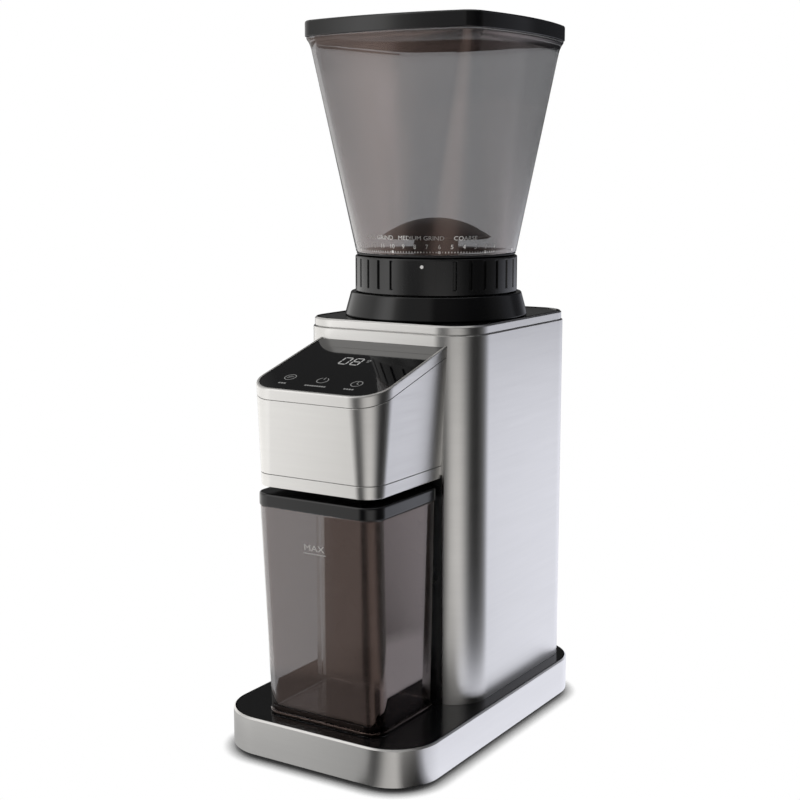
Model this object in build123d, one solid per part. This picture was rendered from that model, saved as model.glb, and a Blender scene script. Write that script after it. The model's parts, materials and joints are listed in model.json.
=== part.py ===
from build123d import *

import os
from math import atan, atan2, cos, degrees, pi, radians, sin, sqrt

# Conical burr coffee grinder, in millimetres. +Z is up, the front faces -Y, and the origin is the
# centre of the footprint at the level that the feet stand on.

# ---------------------------------------------------------------- driving dimensions
AXIS_Y = 30.8           # the burrs, motor, collar and hopper share one upright axis at x = 0
SHEET = 1.6             # wall of the steel casings
GAP = 0.3               # clear space between bodies that move past each other
PRESS = 0.02            # radial gap drawn where one piece is pressed on another
RUNNING = 0.05          # radial gap of a shaft in its bush

BASE_HALF_W, BASE_HALF_D, BASE_R = 65.15, 101.9, 27.6
UNDERPLATE_Z, BAND_Z, TRAY_Z, TRAY_TOP, BASE_TOP = 2.2, 3.0, 20.4, 23.9, 24.0

TOWER_HALF_W, TOWER_FRONT, TOWER_BACK = 56.85, -29.1, 100.4
TOWER_R_FRONT, TOWER_R_BACK = 22.5, 21.1
TOWER_SEAM, TOWER_TOP = 234.1, 238.7
PANEL_HALF_W = 39.8

HEAD_TOP_HALF_W, HEAD_TOP_FRONT, HEAD_TOP_R = 42.0, -99.0, 16.7
HEAD_LOW_HALF_W, HEAD_LOW_FRONT, HEAD_LOW_R = 38.65, -96.1, 10.9
HEAD_BOTTOM, HEAD_GROOVE, HEAD_LIP_Z, HEAD_SLOPE = 154.4, 161.6, 208.3, 0.276
HEAD_SEAM_DROP, HEAD_REACH = 6.0, 1.5             # the head's sides reach back onto the tower's corners

BIN_BACK, BIN_Z, BIN_TOP, BIN_WALL = -31.2, 24.1, 146.5, 2.2
BIN_LOW_HALF_W, BIN_LOW_FRONT, BIN_TOP_HALF_W, BIN_TOP_FRONT = 37.2, -90.2, 39.0, -96.0
BIN_R_FRONT, BIN_R_BACK = 9.0, 6.0
BIN_LID_Z, BIN_LID_TOP, BIN_LID_HALF_W, BIN_LID_FRONT, BIN_LID_BACK = 143.5, 150.5, 39.6, -96.6, -30.2
BIN_RIM_STEP, BIN_LID_FIT = 0.8, 0.2

COLLAR_LOW_R, COLLAR_TOP_R, COLLAR_TOP = 53.8, 50.0, 252.2
RING_R, RING_BORE_R, RING_TOP = 47.4, 40.5, 273.3
RING_GROOVES, PAD_GROOVES, POINTER_AZIMUTH = 32, 1, 21.0
CARRIER_R = 40.2
CLICKS, CLICK_ANGLE = 17, 8.4375

HOPPER_Z, HOPPER_RIM = 274.0, 396.0
LID_Z, LID_TOP = 396.3, 405.0

SHAFT_R, MOTOR_SHAFT_R, GEAR_PIN_R = 4.0, 2.5, 3.0
PRESSURE_ANGLE = radians(25)
GEAR_SPACING = 30.0                              # both gear pairs share this centre distance
MOTOR_TEETH, FIRST_TEETH, FIRST_MODULE = 12, 48, 1.0
SECOND_TEETH, OUTPUT_TEETH, SECOND_MODULE = 12, 36, 1.25
BACKLASH = 0.12
IDLER_Y = AXIS_Y + GEAR_SPACING
CASE_Z, CASE_TOP, COVER_TOP, BOSS_TOP, CASE_R = 150.0, 175.0, 178.0, 199.0, 31.0
EAR_POINTS = [(-34, 38), (34, 38), (-34, 64), (34, 64)]
FIRST_STAGE = (155.0, 162.0)
SECOND_STAGE = (164.0, 173.0)
CHAMBER_FLOOR, CHAMBER_R, CHAMBER_BORE_R, CHAMBER_TOP = 203.0, 44.0, 40.6, 243.4
CHUTE_HALF_W, CHUTE_WALL = 15.0, 2.0
MOTOR_R, MOTOR_Z, MOTOR_TOP = 29.0, 88.0, 150.0
MOTOR_SCREW_X = (-16.0, 16.0)


# ---------------------------------------------------------------- shape helpers
def disc(radius, z0, z1, x=0.0, y=AXIS_Y):
    """Upright round bar from z0 to z1."""
    return Pos(x, y, (z0 + z1) / 2) * Cylinder(radius, z1 - z0)


def tube(outer, inner, z0, z1, x=0.0, y=AXIS_Y):
    """Upright round tube from z0 to z1."""
    return disc(outer, z0, z1, x, y) - disc(inner, z0 - 1, z1 + 1, x, y)


def block(x0, x1, y0, y1, z0, z1):
    """Box between two corners."""
    return Pos((x0 + x1) / 2, (y0 + y1) / 2, (z0 + z1) / 2) * Box(x1 - x0, y1 - y0, z1 - z0)


def rod_y(radius, y0, y1, x, z):
    """Round bar along Y."""
    return Pos(x, (y0 + y1) / 2, z) * Rot(90, 0, 0) * Cylinder(radius, y1 - y0)


def turned(*profile, centre_y=AXIS_Y):
    """Solid turned about the upright axis from a closed profile of (radius, z) points."""
    face = make_face(Plane.XZ * Polyline(*profile, close=True))
    return Pos(0, centre_y, 0) * revolve(face, Axis.Z)


def outline(half_w, front, back, r_front, r_back, height):
    """Closed wire of a rectangle with round corners; height(y) gives each point's z."""
    def at(x, y):
        return Vector(x, y, height(y))

    edges = []
    corners = [(-1, back, r_back, 1), (-1, front, r_front, -1),
               (1, front, r_front, -1), (1, back, r_back, 1)]
    ends = []
    for side, y, r, way in corners:
        along_side = at(side * half_w, y - way * r)
        along_end = at(side * (half_w - r), y)
        bow = r * (1 - sqrt(0.5))
        middle = at(side * (half_w - bow), y - way * bow)
        ends.append((along_side, along_end, middle, r))
    order = [(0, False), (1, True), (2, False), (3, True)]
    previous = None
    first = None
    for index, side_first in order:
        along_side, along_end, middle, r = ends[index]
        start, stop = (along_side, along_end) if side_first else (along_end, along_side)
        if previous is not None:
            edges.append(Edge.make_line(previous, start))
        else:
            first = start
        if r > 0:
            edges.append(Edge.make_three_point_arc(start, middle, stop))
        previous = stop
    edges.append(Edge.make_line(previous, first))
    return Wire(edges)


def slab(half_w, front, back, r_front, r_back, z0, z1):
    """Flat plate with round corners between two heights."""
    face = Face(outline(half_w, front, back, r_front, r_back, lambda y: z0))
    return Solid.extrude(face, Vector(0, 0, z1 - z0))


def base_slab(inset, z0, z1):
    """Plate of the base's outline, drawn in by inset."""
    return slab(BASE_HALF_W - inset, inset - BASE_HALF_D, BASE_HALF_D - inset, BASE_R - inset,
                BASE_R - inset, z0, z1)


def tower_slab(inset, z0, z1):
    """Plate of the tower's outline, drawn in by inset."""
    return slab(TOWER_HALF_W - inset, TOWER_FRONT + inset, TOWER_BACK - inset,
                TOWER_R_FRONT - inset, TOWER_R_BACK - inset, z0, z1)


def bowed_outline(half, side_r, corner_r, z):
    """Closed wire of a square with bulging sides: four side arcs and four corner arcs."""
    set_back = side_r - half
    reach = side_r - corner_r
    corner = (-2 * set_back + sqrt(4 * set_back ** 2 - 8 * (set_back ** 2 - reach ** 2))) / 4
    turn = atan2(corner, corner + set_back)
    start = Vector(side_r * cos(turn) - set_back, -side_r * sin(turn), 0)
    side_end = Vector(start.X, -start.Y, 0)
    tip = corner + corner_r * sqrt(0.5)
    edges = []
    for quarter in range(4):
        def place(v):
            spun = v.rotate(Axis.Z, 90 * quarter)
            return Vector(spun.X, spun.Y + AXIS_Y, z)
        edges.append(Edge.make_three_point_arc(place(start), place(Vector(half, 0, 0)), place(side_end)))
        corner_end = place(Vector(side_end.Y, side_end.X, 0))
        edges.append(Edge.make_three_point_arc(place(side_end), place(Vector(tip, tip, 0)), corner_end))
    return Wire(edges)


def bowed_slab(half, side_r, corner_r, z0, z1):
    """Plate of the bulging square between two heights."""
    return Solid.extrude(Face(bowed_outline(half, side_r, corner_r, z0)), Vector(0, 0, z1 - z0))


def spoke_points(count, radius, first=0.0):
    """Centres of a ring of features about the upright axis, as (x, y, angle in degrees)."""
    for k in range(count):
        angle = first + 360 * k / count
        yield radius * cos(radians(angle)), AXIS_Y + radius * sin(radians(angle)), angle


def azimuth(angle_right):
    """Angle in the plan of a place that lies angle_right degrees right of the front, towards +X."""
    return angle_right - 90


def gear(teeth, module, z0, z1, centre_y, tooth_angle):
    """Involute spur gear with a tooth centred at tooth_angle degrees in the plan."""
    pitch_r = teeth * module / 2
    base_r = pitch_r * cos(PRESSURE_ANGLE)
    tip_r = pitch_r + module
    root_r = pitch_r - 1.25 * module

    def involute(radius):
        roll = sqrt(max((radius / base_r) ** 2 - 1, 0))
        return roll - atan(roll)

    half_pitch = pi / (2 * teeth) - BACKLASH / (2 * pitch_r)

    def half_angle(radius):
        return half_pitch + involute(pitch_r) - involute(radius)

    flank_r = max(base_r, root_r + 0.05 * module)

    def at(radius, angle):
        return Vector(radius * cos(angle), centre_y + radius * sin(angle), z0)

    edges = []
    for k in range(teeth):
        middle = radians(tooth_angle) + 2 * pi * k / teeth
        low, tip = half_angle(flank_r), half_angle(tip_r)
        mid_r = (flank_r + tip_r) / 2
        centre_flank = half_angle(mid_r)
        next_root = middle + 2 * pi / teeth - low
        edges.append(Edge.make_line(at(root_r, middle - low), at(flank_r, middle - low)))
        edges.append(Edge.make_three_point_arc(at(flank_r, middle - low), at(mid_r, middle - centre_flank),
                                               at(tip_r, middle - tip)))
        edges.append(Edge.make_three_point_arc(at(tip_r, middle - tip), at(tip_r, middle),
                                               at(tip_r, middle + tip)))
        edges.append(Edge.make_three_point_arc(at(tip_r, middle + tip), at(mid_r, middle + centre_flank),
                                               at(flank_r, middle + low)))
        edges.append(Edge.make_line(at(flank_r, middle + low), at(root_r, middle + low)))
        edges.append(Edge.make_three_point_arc(at(root_r, middle + low),
                                               at(root_r, (middle + low + next_root) / 2),
                                               at(root_r, next_root)))
    return Solid.extrude(Face(Wire(edges)), Vector(0, 0, z1 - z0))


# ---------------------------------------------------------------- base
BASE_SCREWS = [(-40, -58), (40, -58), (-40, 58), (40, 58)]
FEET = [(-44, -80), (44, -80), (-44, 80), (44, 80)]
FOOT_R, FOOT_TOP = 8.5, 3.2
BASE_SCREW_HEAD_Z, BASE_SCREW_SHANK_R = 4.2, 1.6


def intake_slots(z0, z1):
    """Nine slots under the motor that let cooling air in."""
    slots = [block(-20, 20, AXIS_Y + 6 * k - 1.4, AXIS_Y + 6 * k + 1.4, z0, z1) for k in range(-4, 5)]
    return Compound([solid for slot in slots for solid in slot.solids()])


def base_band():
    """Brushed steel band round the base, with a bright chamfer along its top edge."""
    band = base_slab(0, BAND_Z, BASE_TOP)
    band = chamfer(band.faces().sort_by(Axis.Z)[-1].edges(), 0.9)
    return band - base_slab(SHEET, BAND_Z - 1, BASE_TOP + 1)


def base_tray():
    """Glossy top of the base with the four screw bosses under it."""
    tray = base_slab(SHEET + 0.1, TRAY_Z, TRAY_TOP)
    for x, y in BASE_SCREWS:
        tray += disc(4.2, 7.0, TRAY_Z, x, y)
        tray -= disc(BASE_SCREW_SHANK_R + PRESS, 6.0, 18.0, x, y)
    return tray - intake_slots(TRAY_Z - 1, TRAY_TOP + 1)


def base_underplate():
    """Plastic plate that closes the base, with foot pockets and intake slots."""
    plate = base_slab(SHEET + 0.5, UNDERPLATE_Z, 6.2)
    for x, y in FEET:
        plate -= disc(FOOT_R + PRESS, UNDERPLATE_Z - 1, FOOT_TOP, x, y)
    for x, y in BASE_SCREWS:
        plate -= disc(3.7, UNDERPLATE_Z - 1, BASE_SCREW_HEAD_Z, x, y)
        plate -= disc(BASE_SCREW_SHANK_R + 0.2, UNDERPLATE_Z - 1, 7, x, y)
    return plate - intake_slots(UNDERPLATE_Z - 1, 7)


def feet():
    """Four rubber feet."""
    return Compound([disc(FOOT_R, 0, FOOT_TOP, x, y) for x, y in FEET])


def base_screws():
    """Four screws that hold the underplate to the tray."""
    screws = []
    for x, y in BASE_SCREWS:
        screw = disc(3.2, BASE_SCREW_HEAD_Z - 1.6, BASE_SCREW_HEAD_Z, x, y)
        screw += disc(BASE_SCREW_SHANK_R, BASE_SCREW_HEAD_Z, 16.0, x, y)
        screw -= block(x - 2, x + 2, y - 0.4, y + 0.4, BASE_SCREW_HEAD_Z - 2, BASE_SCREW_HEAD_Z - 0.9)
        screw -= block(x - 0.4, x + 0.4, y - 2, y + 2, BASE_SCREW_HEAD_Z - 2, BASE_SCREW_HEAD_Z - 0.9)
        screws.append(screw)
    return Compound([part for screw in screws for part in screw.solids()])


# ---------------------------------------------------------------- tower
VENT_HALF_W, VENT_Z0, VENT_Z1 = 26.0, 60.0, 140.0
GLAND_X, GLAND_Z, GLAND_R, GLAND_BORE_R = 24.0, 38.0, 7.0, 3.4
SENSOR_X, SENSOR_Z, SENSOR_R = 24.0, 147.0, 2.0
CHASSIS_POSTS = [(-44, -12), (44, -12), (-44, 82), (44, 82)]


def tower_wrap():
    """Brushed steel sleeve of the tower, open at the front for the panel and the chute."""
    wrap = tower_slab(0, BASE_TOP, TOWER_SEAM - 0.5)
    wrap = chamfer(wrap.faces().sort_by(Axis.Z)[-1].edges(), 0.5)
    wrap -= tower_slab(SHEET, TRAY_TOP - 1, TOWER_SEAM)
    front = TOWER_FRONT - 1, TOWER_FRONT + SHEET + 1
    wrap -= block(-PANEL_HALF_W, PANEL_HALF_W, *front, TRAY_TOP - 1, HEAD_BOTTOM + 2)
    wrap -= block(-18, 18, *front, HEAD_BOTTOM + 10, 222)
    wrap -= block(-VENT_HALF_W - 0.1, VENT_HALF_W + 0.1, TOWER_BACK - SHEET - 1, TOWER_BACK + 1,
                  VENT_Z0 - 0.1, VENT_Z1 + 0.1)
    wrap -= rod_y(GLAND_R + 0.1, TOWER_BACK - SHEET - 1, TOWER_BACK + 1, GLAND_X, GLAND_Z)
    return wrap


def tower_trim_band():
    """Steel band round the top edge, with an inner lip that backs the seam below it."""
    band = tower_slab(0.8, TOWER_SEAM, TOWER_TOP)
    band = chamfer(band.faces().sort_by(Axis.Z)[-1].edges(), 0.8)
    band += tower_slab(SHEET + 0.1, TOWER_SEAM - 5, TOWER_SEAM)
    return band - tower_slab(SHEET + 1.3, TOWER_SEAM - 6, TOWER_TOP + 1)


def tower_top_plate():
    """Glossy plate inside the trim band, holed for the grinding chamber."""
    plate = tower_slab(SHEET + 1.4, TOWER_TOP - 2.8, TOWER_TOP - 0.3)
    return plate - disc(CHAMBER_R + 0.2, TOWER_TOP - 5, TOWER_TOP + 1)


def tower_front_panel():
    """Dark panel behind the bin, with a backing flange and the sensor's guide hole."""
    face = block(-PANEL_HALF_W + 0.1, PANEL_HALF_W - 0.1, TOWER_FRONT, TOWER_FRONT + SHEET + 0.2,
                 TRAY_TOP, HEAD_BOTTOM + 1.9)
    backing = block(-PANEL_HALF_W - 0.9, PANEL_HALF_W + 0.9, TOWER_FRONT + SHEET,
                    TOWER_FRONT + SHEET + 1.4, TRAY_TOP, HEAD_BOTTOM + 4)
    panel = face & tower_slab(0, BASE_TOP - 1, HEAD_LIP_Z)
    panel += backing & tower_slab(SHEET + 0.05, BASE_TOP - 1, HEAD_LIP_Z)
    return panel - rod_y(SENSOR_R + 0.08, TOWER_FRONT - 1, TOWER_FRONT + SHEET + 3, SENSOR_X, SENSOR_Z)


def rear_vent_panel():
    """Louvred panel in the tower's back."""
    panel = block(-VENT_HALF_W, VENT_HALF_W, TOWER_BACK - 2.4, TOWER_BACK - 0.3, VENT_Z0, VENT_Z1)
    for k in range(10):
        z = VENT_Z0 + 8.5 + 7 * k
        slot = Pos(0, TOWER_BACK - 1.4, z) * Rot(35, 0, 0) * Box(42, 8, 2.4)
        panel -= slot
    return panel


def cord_gland():
    """Bushing where a mains cord would enter at the back."""
    gland = rod_y(GLAND_R, TOWER_BACK - 9, TOWER_BACK, GLAND_X, GLAND_Z)
    gland += rod_y(GLAND_R + 1.8, TOWER_BACK, TOWER_BACK + 1.3, GLAND_X, GLAND_Z)
    return gland - rod_y(GLAND_BORE_R, TOWER_BACK - 10, TOWER_BACK + 3, GLAND_X, GLAND_Z)


def chassis():
    """Plastic frame inside the tower: four posts, a shelf for the gearbox and a top frame."""
    frame = block(-50, 50, -9.5, 92, 142.0, 146.8)
    frame -= disc(MOTOR_R + 1.4, 140, 149)
    frame += block(-46, 46, 84, 90, 228, 235.8)
    frame += block(-46, 46, -18, -14.6, 222, 235.8)
    for x, y in CHASSIS_POSTS:
        frame += block(x - 4, x + 4, y - 4, y + 4, TRAY_TOP, 235.8)
        frame += block(x - 6, x + 6, y - 6, y + 6, TRAY_TOP, TRAY_TOP + 4)
    return frame


def bin_sensor_plunger():
    """Sprung pin that the bin pushes in when it is home."""
    pin = rod_y(SENSOR_R, TOWER_FRONT - 0.7, TOWER_FRONT + 8, SENSOR_X, SENSOR_Z)
    return pin + rod_y(3.6, TOWER_FRONT + 3.3, TOWER_FRONT + 4.5, SENSOR_X, SENSOR_Z)


def bin_sensor_switch():
    """Microswitch behind the plunger, on a bracket from the front panel."""
    y0 = TOWER_FRONT + 10.2
    switch = block(SENSOR_X - 6, SENSOR_X + 6, y0, y0 + 9, SENSOR_Z - 4, SENSOR_Z + 3)
    bracket = block(SENSOR_X + 6, SENSOR_X + 8, TOWER_FRONT + SHEET + 1.4, y0 + 9,
                    SENSOR_Z - 3.9, SENSOR_Z + 3)
    return switch + bracket


# ---------------------------------------------------------------- control head
def panel_height(drop=0.0):
    """Height of the sloped control face at each y, lowered by drop."""
    return lambda y: HEAD_LIP_Z + HEAD_SLOPE * (y - HEAD_TOP_FRONT) - drop


def head_solid(inset):
    """The head's drafted body between its flat underside and its sloped top, drawn in by inset."""
    back = TOWER_FRONT + HEAD_REACH
    low = outline(HEAD_LOW_HALF_W - inset, HEAD_LOW_FRONT + inset, back, HEAD_LOW_R - inset, 0,
                  lambda y: HEAD_BOTTOM)
    top = outline(HEAD_TOP_HALF_W - inset, HEAD_TOP_FRONT + inset, back, HEAD_TOP_R - inset, 0,
                  panel_height())
    return Solid.make_loft([low, top], ruled=True)


def head_slice(inset, wall, low_cut, high_cut):
    """Hollow length of the head between two cutting planes, each a plane or None; it stops at the tower."""
    ring = head_solid(inset) - head_solid(inset + wall)
    ring -= tower_slab(-PRESS, BASE_TOP, TOWER_TOP + 1)
    if low_cut:
        ring = split(ring, low_cut, keep=Keep.TOP)
    if high_cut:
        ring = split(ring, high_cut, keep=Keep.BOTTOM)
    return ring


def seam_plane(drop):
    """Plane parallel to the sloped face, drop below it."""
    tilt = atan(HEAD_SLOPE)
    return Plane(origin=(0, HEAD_TOP_FRONT, HEAD_LIP_Z - drop), z_dir=(0, -sin(tilt), cos(tilt)))


def level_plane(z):
    """Level plane at z."""
    return Plane(origin=(0, 0, z), z_dir=(0, 0, 1))


def head_top_frame():
    """Steel rim round the control glass, with a lip inside the seam."""
    rim = head_slice(0, SHEET, seam_plane(HEAD_SEAM_DROP), None)
    return rim + head_slice(SHEET, 1.2, seam_plane(HEAD_SEAM_DROP + 5), seam_plane(2.6))


def head_shell():
    """Brushed steel shell of the head, between the two seams."""
    return head_slice(0, SHEET - 0.1, level_plane(HEAD_GROOVE + 0.2), seam_plane(HEAD_SEAM_DROP + 0.5))


def head_lower_trim():
    """Steel band round the head's bottom edge, with a lip inside its groove."""
    band = head_slice(0, SHEET, None, level_plane(HEAD_GROOVE - 0.2))
    return band + head_slice(SHEET, 1.2, level_plane(HEAD_BOTTOM + 3), level_plane(HEAD_GROOVE + 5))


def sloped_plate(inset, back, drop, thickness):
    """Plate parallel to the control face."""
    wire = outline(HEAD_TOP_HALF_W - inset, HEAD_TOP_FRONT + inset, back, HEAD_TOP_R - inset, 0,
                   panel_height(drop))
    return Solid.extrude(Face(wire), Vector(0, 0, -thickness))


def control_glass():
    """Glossy touch panel that fills the sloped face."""
    return sloped_plate(SHEET + 0.3, TOWER_FRONT - 0.2, 0.25, 2.2)


def control_board():
    """Circuit board under the glass."""
    board = sloped_plate(6.0, -50.0, 9.0, 1.6)
    for x, y in [(-32, -88), (32, -88), (-32, -54), (32, -54)]:
        board -= disc(1.7, 190, 230, x, y)
    return board


DIGITS_Y = -56.5


def digit_display():
    """Two-digit display block on the board."""
    tilt = Rot(degrees(atan(HEAD_SLOPE)), 0, 0)
    return Pos(0, DIGITS_Y, panel_height(5.7)(DIGITS_Y)) * tilt * Box(27, 12, 5.4)


TOUCH_POINTS = [(-23.3, -82.2), (-2.0, -82.8), (19.9, -83.1)]


def touch_sensors():
    """Three sensor pads between the board and the glass."""
    return Compound([disc(4.5, panel_height(8.9)(y) + 1.4, panel_height(2.5)(y) - 1.4, x, y)
                     for x, y in TOUCH_POINTS])


def head_bottom_cover():
    """Dark cover of the head's underside, holed for the chute."""
    face = Face(outline(HEAD_LOW_HALF_W - SHEET - 0.2, HEAD_LOW_FRONT + SHEET + 0.2, TOWER_FRONT - 0.2,
                        HEAD_LOW_R - SHEET, 0, lambda y: HEAD_BOTTOM + 0.4))
    cover = Solid.extrude(face, Vector(0, 0, 2.2))
    return cover - block(-CHUTE_HALF_W - 0.1, CHUTE_HALF_W + 0.1, -74.1, -45.9,
                         HEAD_BOTTOM - 1, HEAD_BOTTOM + 4)


def side_profile(*points):
    """Closed face in the YZ plane from (y, z) points."""
    return Face(Wire.make_polygon([Vector(0, y, z) for y, z in points], close=True))


def prism_x(face, half_w):
    """Solid of a side profile, half_w to each side of the middle."""
    return Solid.extrude(face.moved(Location((-half_w, 0, 0))), Vector(2 * half_w, 0, 0))


def grounds_chute():
    """Duct from the grinding chamber forwards and down to the bin."""
    outer = side_profile((-8, 218), (-40, 218), (-74, 184), (-74, HEAD_BOTTOM - 0.4),
                         (-46, HEAD_BOTTOM - 0.4), (-46, 172), (-18, 201), (-8, 201))
    inner = side_profile((-6, 216), (-39.17, 216), (-72, 183.17), (-72, 150), (-48, 150),
                         (-48, 172.8), (-18.85, 203), (-6, 203))
    duct = prism_x(outer, CHUTE_HALF_W) - prism_x(inner, CHUTE_HALF_W - CHUTE_WALL)
    return duct - disc(CHAMBER_R + 0.1, 195, 225)


def chute_seal():
    """Soft collar round the chute's mouth, just above the bin's lid."""
    y0, y1 = -77.0, -43.0
    seal = block(-18, 18, y0, y1, 151.0, HEAD_BOTTOM - 0.5)
    return seal - block(-13, 13, y0 + 5, y1 - 5, 150, HEAD_BOTTOM)


# ---------------------------------------------------------------- grounds bin
def bin_body_solid(inset, z0, z1):
    """The bin's tapered body between two heights, drawn in by inset."""
    def ring(z):
        t = (z - BIN_Z) / (BIN_TOP - BIN_Z)
        half = BIN_LOW_HALF_W + t * (BIN_TOP_HALF_W - BIN_LOW_HALF_W) - inset
        front = BIN_LOW_FRONT + t * (BIN_TOP_FRONT - BIN_LOW_FRONT) + inset
        return outline(half, front, BIN_BACK - inset, BIN_R_FRONT - inset, BIN_R_BACK - inset, lambda y: z)
    return Solid.make_loft([ring(z0), ring(z1)], ruled=True)


def bin_rim_slab(inset, z0, z1):
    """Plate of the bin's rim, a step inside its wall, drawn in by inset."""
    step = BIN_RIM_STEP + inset
    return slab(BIN_TOP_HALF_W - step, BIN_TOP_FRONT + step, BIN_BACK - step, BIN_R_FRONT - step,
                BIN_R_BACK - step, z0, z1)


def grounds_bin():
    """Clear bin with a stepped foot and a rim drawn in under its lid; it slides out to the front."""
    body = bin_body_solid(0, BIN_Z, BIN_TOP) - block(-50, 50, -110, 0, BIN_LID_Z - 0.2, BIN_TOP + 1)
    body += bin_rim_slab(0, BIN_LID_Z - 0.2, BIN_TOP)
    body += slab(BIN_LOW_HALF_W + 0.8, BIN_LOW_FRONT - 0.8, BIN_BACK + 0.5, BIN_R_FRONT + 0.8, BIN_R_BACK,
                 BIN_Z, BIN_Z + 2.0)
    return body - bin_body_solid(BIN_WALL, BIN_Z + 2.6, BIN_TOP + 5)


def bin_lid():
    """Lid pressed over the bin's rim, with the opening under the chute and a finger scoop."""
    lid = slab(BIN_LID_HALF_W, BIN_LID_FRONT, BIN_LID_BACK, 10, 7, BIN_LID_Z, BIN_LID_TOP)
    lid = fillet(lid.faces().sort_by(Axis.Z)[-1].edges(), 1.0)
    lid -= bin_rim_slab(-BIN_LID_FIT, BIN_LID_Z - 1, BIN_TOP + 0.1)
    lid += slab(BIN_TOP_HALF_W - 3.4, BIN_TOP_FRONT + 3.4, BIN_BACK - 3.4, 6, 4,
                BIN_LID_Z + 0.4, BIN_TOP + 0.1)
    lid -= slab(BIN_TOP_HALF_W - 5.0, BIN_TOP_FRONT + 5.0, BIN_BACK - 5.0, 5, 3, BIN_LID_Z, BIN_TOP + 0.05)
    lid -= block(-19, 19, -80, -40, BIN_LID_Z, BIN_LID_TOP + 1)
    return lid - Pos(0, BIN_LID_FRONT - 4, BIN_LID_TOP + 9.5) * Sphere(12)


# ---------------------------------------------------------------- motor
def motor_can():
    """Deep-drawn can, closed at the top."""
    can = disc(MOTOR_R, MOTOR_Z, MOTOR_TOP) - disc(MOTOR_R - 1.5, MOTOR_Z - 1, MOTOR_TOP - 1.5)
    can -= disc(6.0 + PRESS, MOTOR_TOP - 3, MOTOR_TOP + 1)
    for x in MOTOR_SCREW_X:
        can -= disc(1.3 + PRESS, MOTOR_TOP - 3, MOTOR_TOP + 1, x)
    for x, y, angle in spoke_points(8, MOTOR_R):
        can -= Pos(x, y, MOTOR_Z + 4) * Rot(0, 0, angle) * Box(6, 8, 5)
    return can


def motor_screws():
    """Two screws that hang the motor from the gearbox floor."""
    screws = []
    for x in MOTOR_SCREW_X:
        screw = disc(2.6, CASE_Z + 3, CASE_Z + 4.6, x) + disc(1.3, MOTOR_TOP - 2.5, CASE_Z + 3, x)
        screws.extend(screw.solids())
    return Compound(screws)


def motor_end_bell():
    """Plastic end cap that holds the lower bush and the brushes."""
    bell = disc(MOTOR_R, MOTOR_Z - 4, MOTOR_Z) + disc(9, MOTOR_Z - 9, MOTOR_Z - 4)
    bell += tube(17, 13.6, MOTOR_Z, MOTOR_Z + 9)
    for x, y, angle in spoke_points(2, 15.4):
        bell -= Pos(x, y, MOTOR_Z + 5) * Rot(0, 0, angle) * Box(8, 4.4, 5.4)
    return bell - disc(6.0 + PRESS, MOTOR_Z - 10, MOTOR_Z + 1)


def motor_brushes():
    """Two carbon brushes in the end bell's windows."""
    brushes = [Pos(x, y, MOTOR_Z + 5) * Rot(0, 0, angle) * Box(8, 4, 5)
               for x, y, angle in spoke_points(2, 13.0)]
    return Compound([solid for brush in brushes for solid in brush.solids()])


def motor_bushes():
    """Upper and lower bush of the armature shaft."""
    upper = tube(6.0, MOTOR_SHAFT_R + RUNNING, MOTOR_TOP - 5, MOTOR_TOP)
    lower = tube(6.0, MOTOR_SHAFT_R + RUNNING, MOTOR_Z - 9, MOTOR_Z)
    return Compound([solid for bush in (upper, lower) for solid in bush.solids()])


def motor_magnets():
    """Two arc magnets inside the can."""
    ring = tube(MOTOR_R - 1.6, 23.4, 100, 138)
    ring -= block(-10, 10, AXIS_Y - 30, AXIS_Y + 30, 99, 139)
    return ring


def motor_armature():
    """Slotted core, commutator and shaft."""
    core = disc(22.6, 102, 136)
    for x, y, angle in spoke_points(9, 19.5):
        core -= Pos(x, y, 119) * Rot(0, 0, angle) * Box(8, 3.2, 36)
        core -= disc(3.2, 101, 137, 0.8 * x, AXIS_Y + 0.8 * (y - AXIS_Y))
    armature = core + disc(8.6, 89.5, 97) + disc(5.0, 97, 102) + disc(5.0, 136, 142)
    return armature + disc(MOTOR_SHAFT_R, 78, 162.8)


def motor_pinion():
    """Twelve-tooth pinion pressed on the motor shaft."""
    wheel = gear(MOTOR_TEETH, FIRST_MODULE, FIRST_STAGE[0] - 0.5, FIRST_STAGE[1] + 0.5, AXIS_Y, 90)
    return wheel - disc(MOTOR_SHAFT_R + PRESS, 150, 170)


# ---------------------------------------------------------------- gearbox
def stadium(radius, z0, z1):
    """Plate of two round ends on the gear centres, joined by straight sides."""
    plate = disc(radius, z0, z1) + disc(radius, z0, z1, 0, IDLER_Y)
    return plate + block(-radius, radius, AXIS_Y, IDLER_Y, z0, z1)


def gearbox_case():
    """Cup that holds both gear stages, with four screw ears."""
    case = stadium(CASE_R, CASE_Z, CASE_TOP)
    for x, y in EAR_POINTS:
        case += disc(5, CASE_Z, CASE_TOP, x, y)
    case -= stadium(CASE_R - 2.5, CASE_Z + 3, CASE_TOP + 1)
    case -= disc(6.5, CASE_Z - 1, CASE_Z + 4)
    for x in MOTOR_SCREW_X:
        case -= disc(1.3 + PRESS, CASE_Z - 1, CASE_Z + 4, x)
    case -= disc(GEAR_PIN_R + PRESS, CASE_Z + 1, CASE_Z + 4, 0, IDLER_Y)
    for x, y in EAR_POINTS:
        case -= disc(1.5 + PRESS, CASE_Z + 8, CASE_TOP + 1, x, y)
    return case


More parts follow.
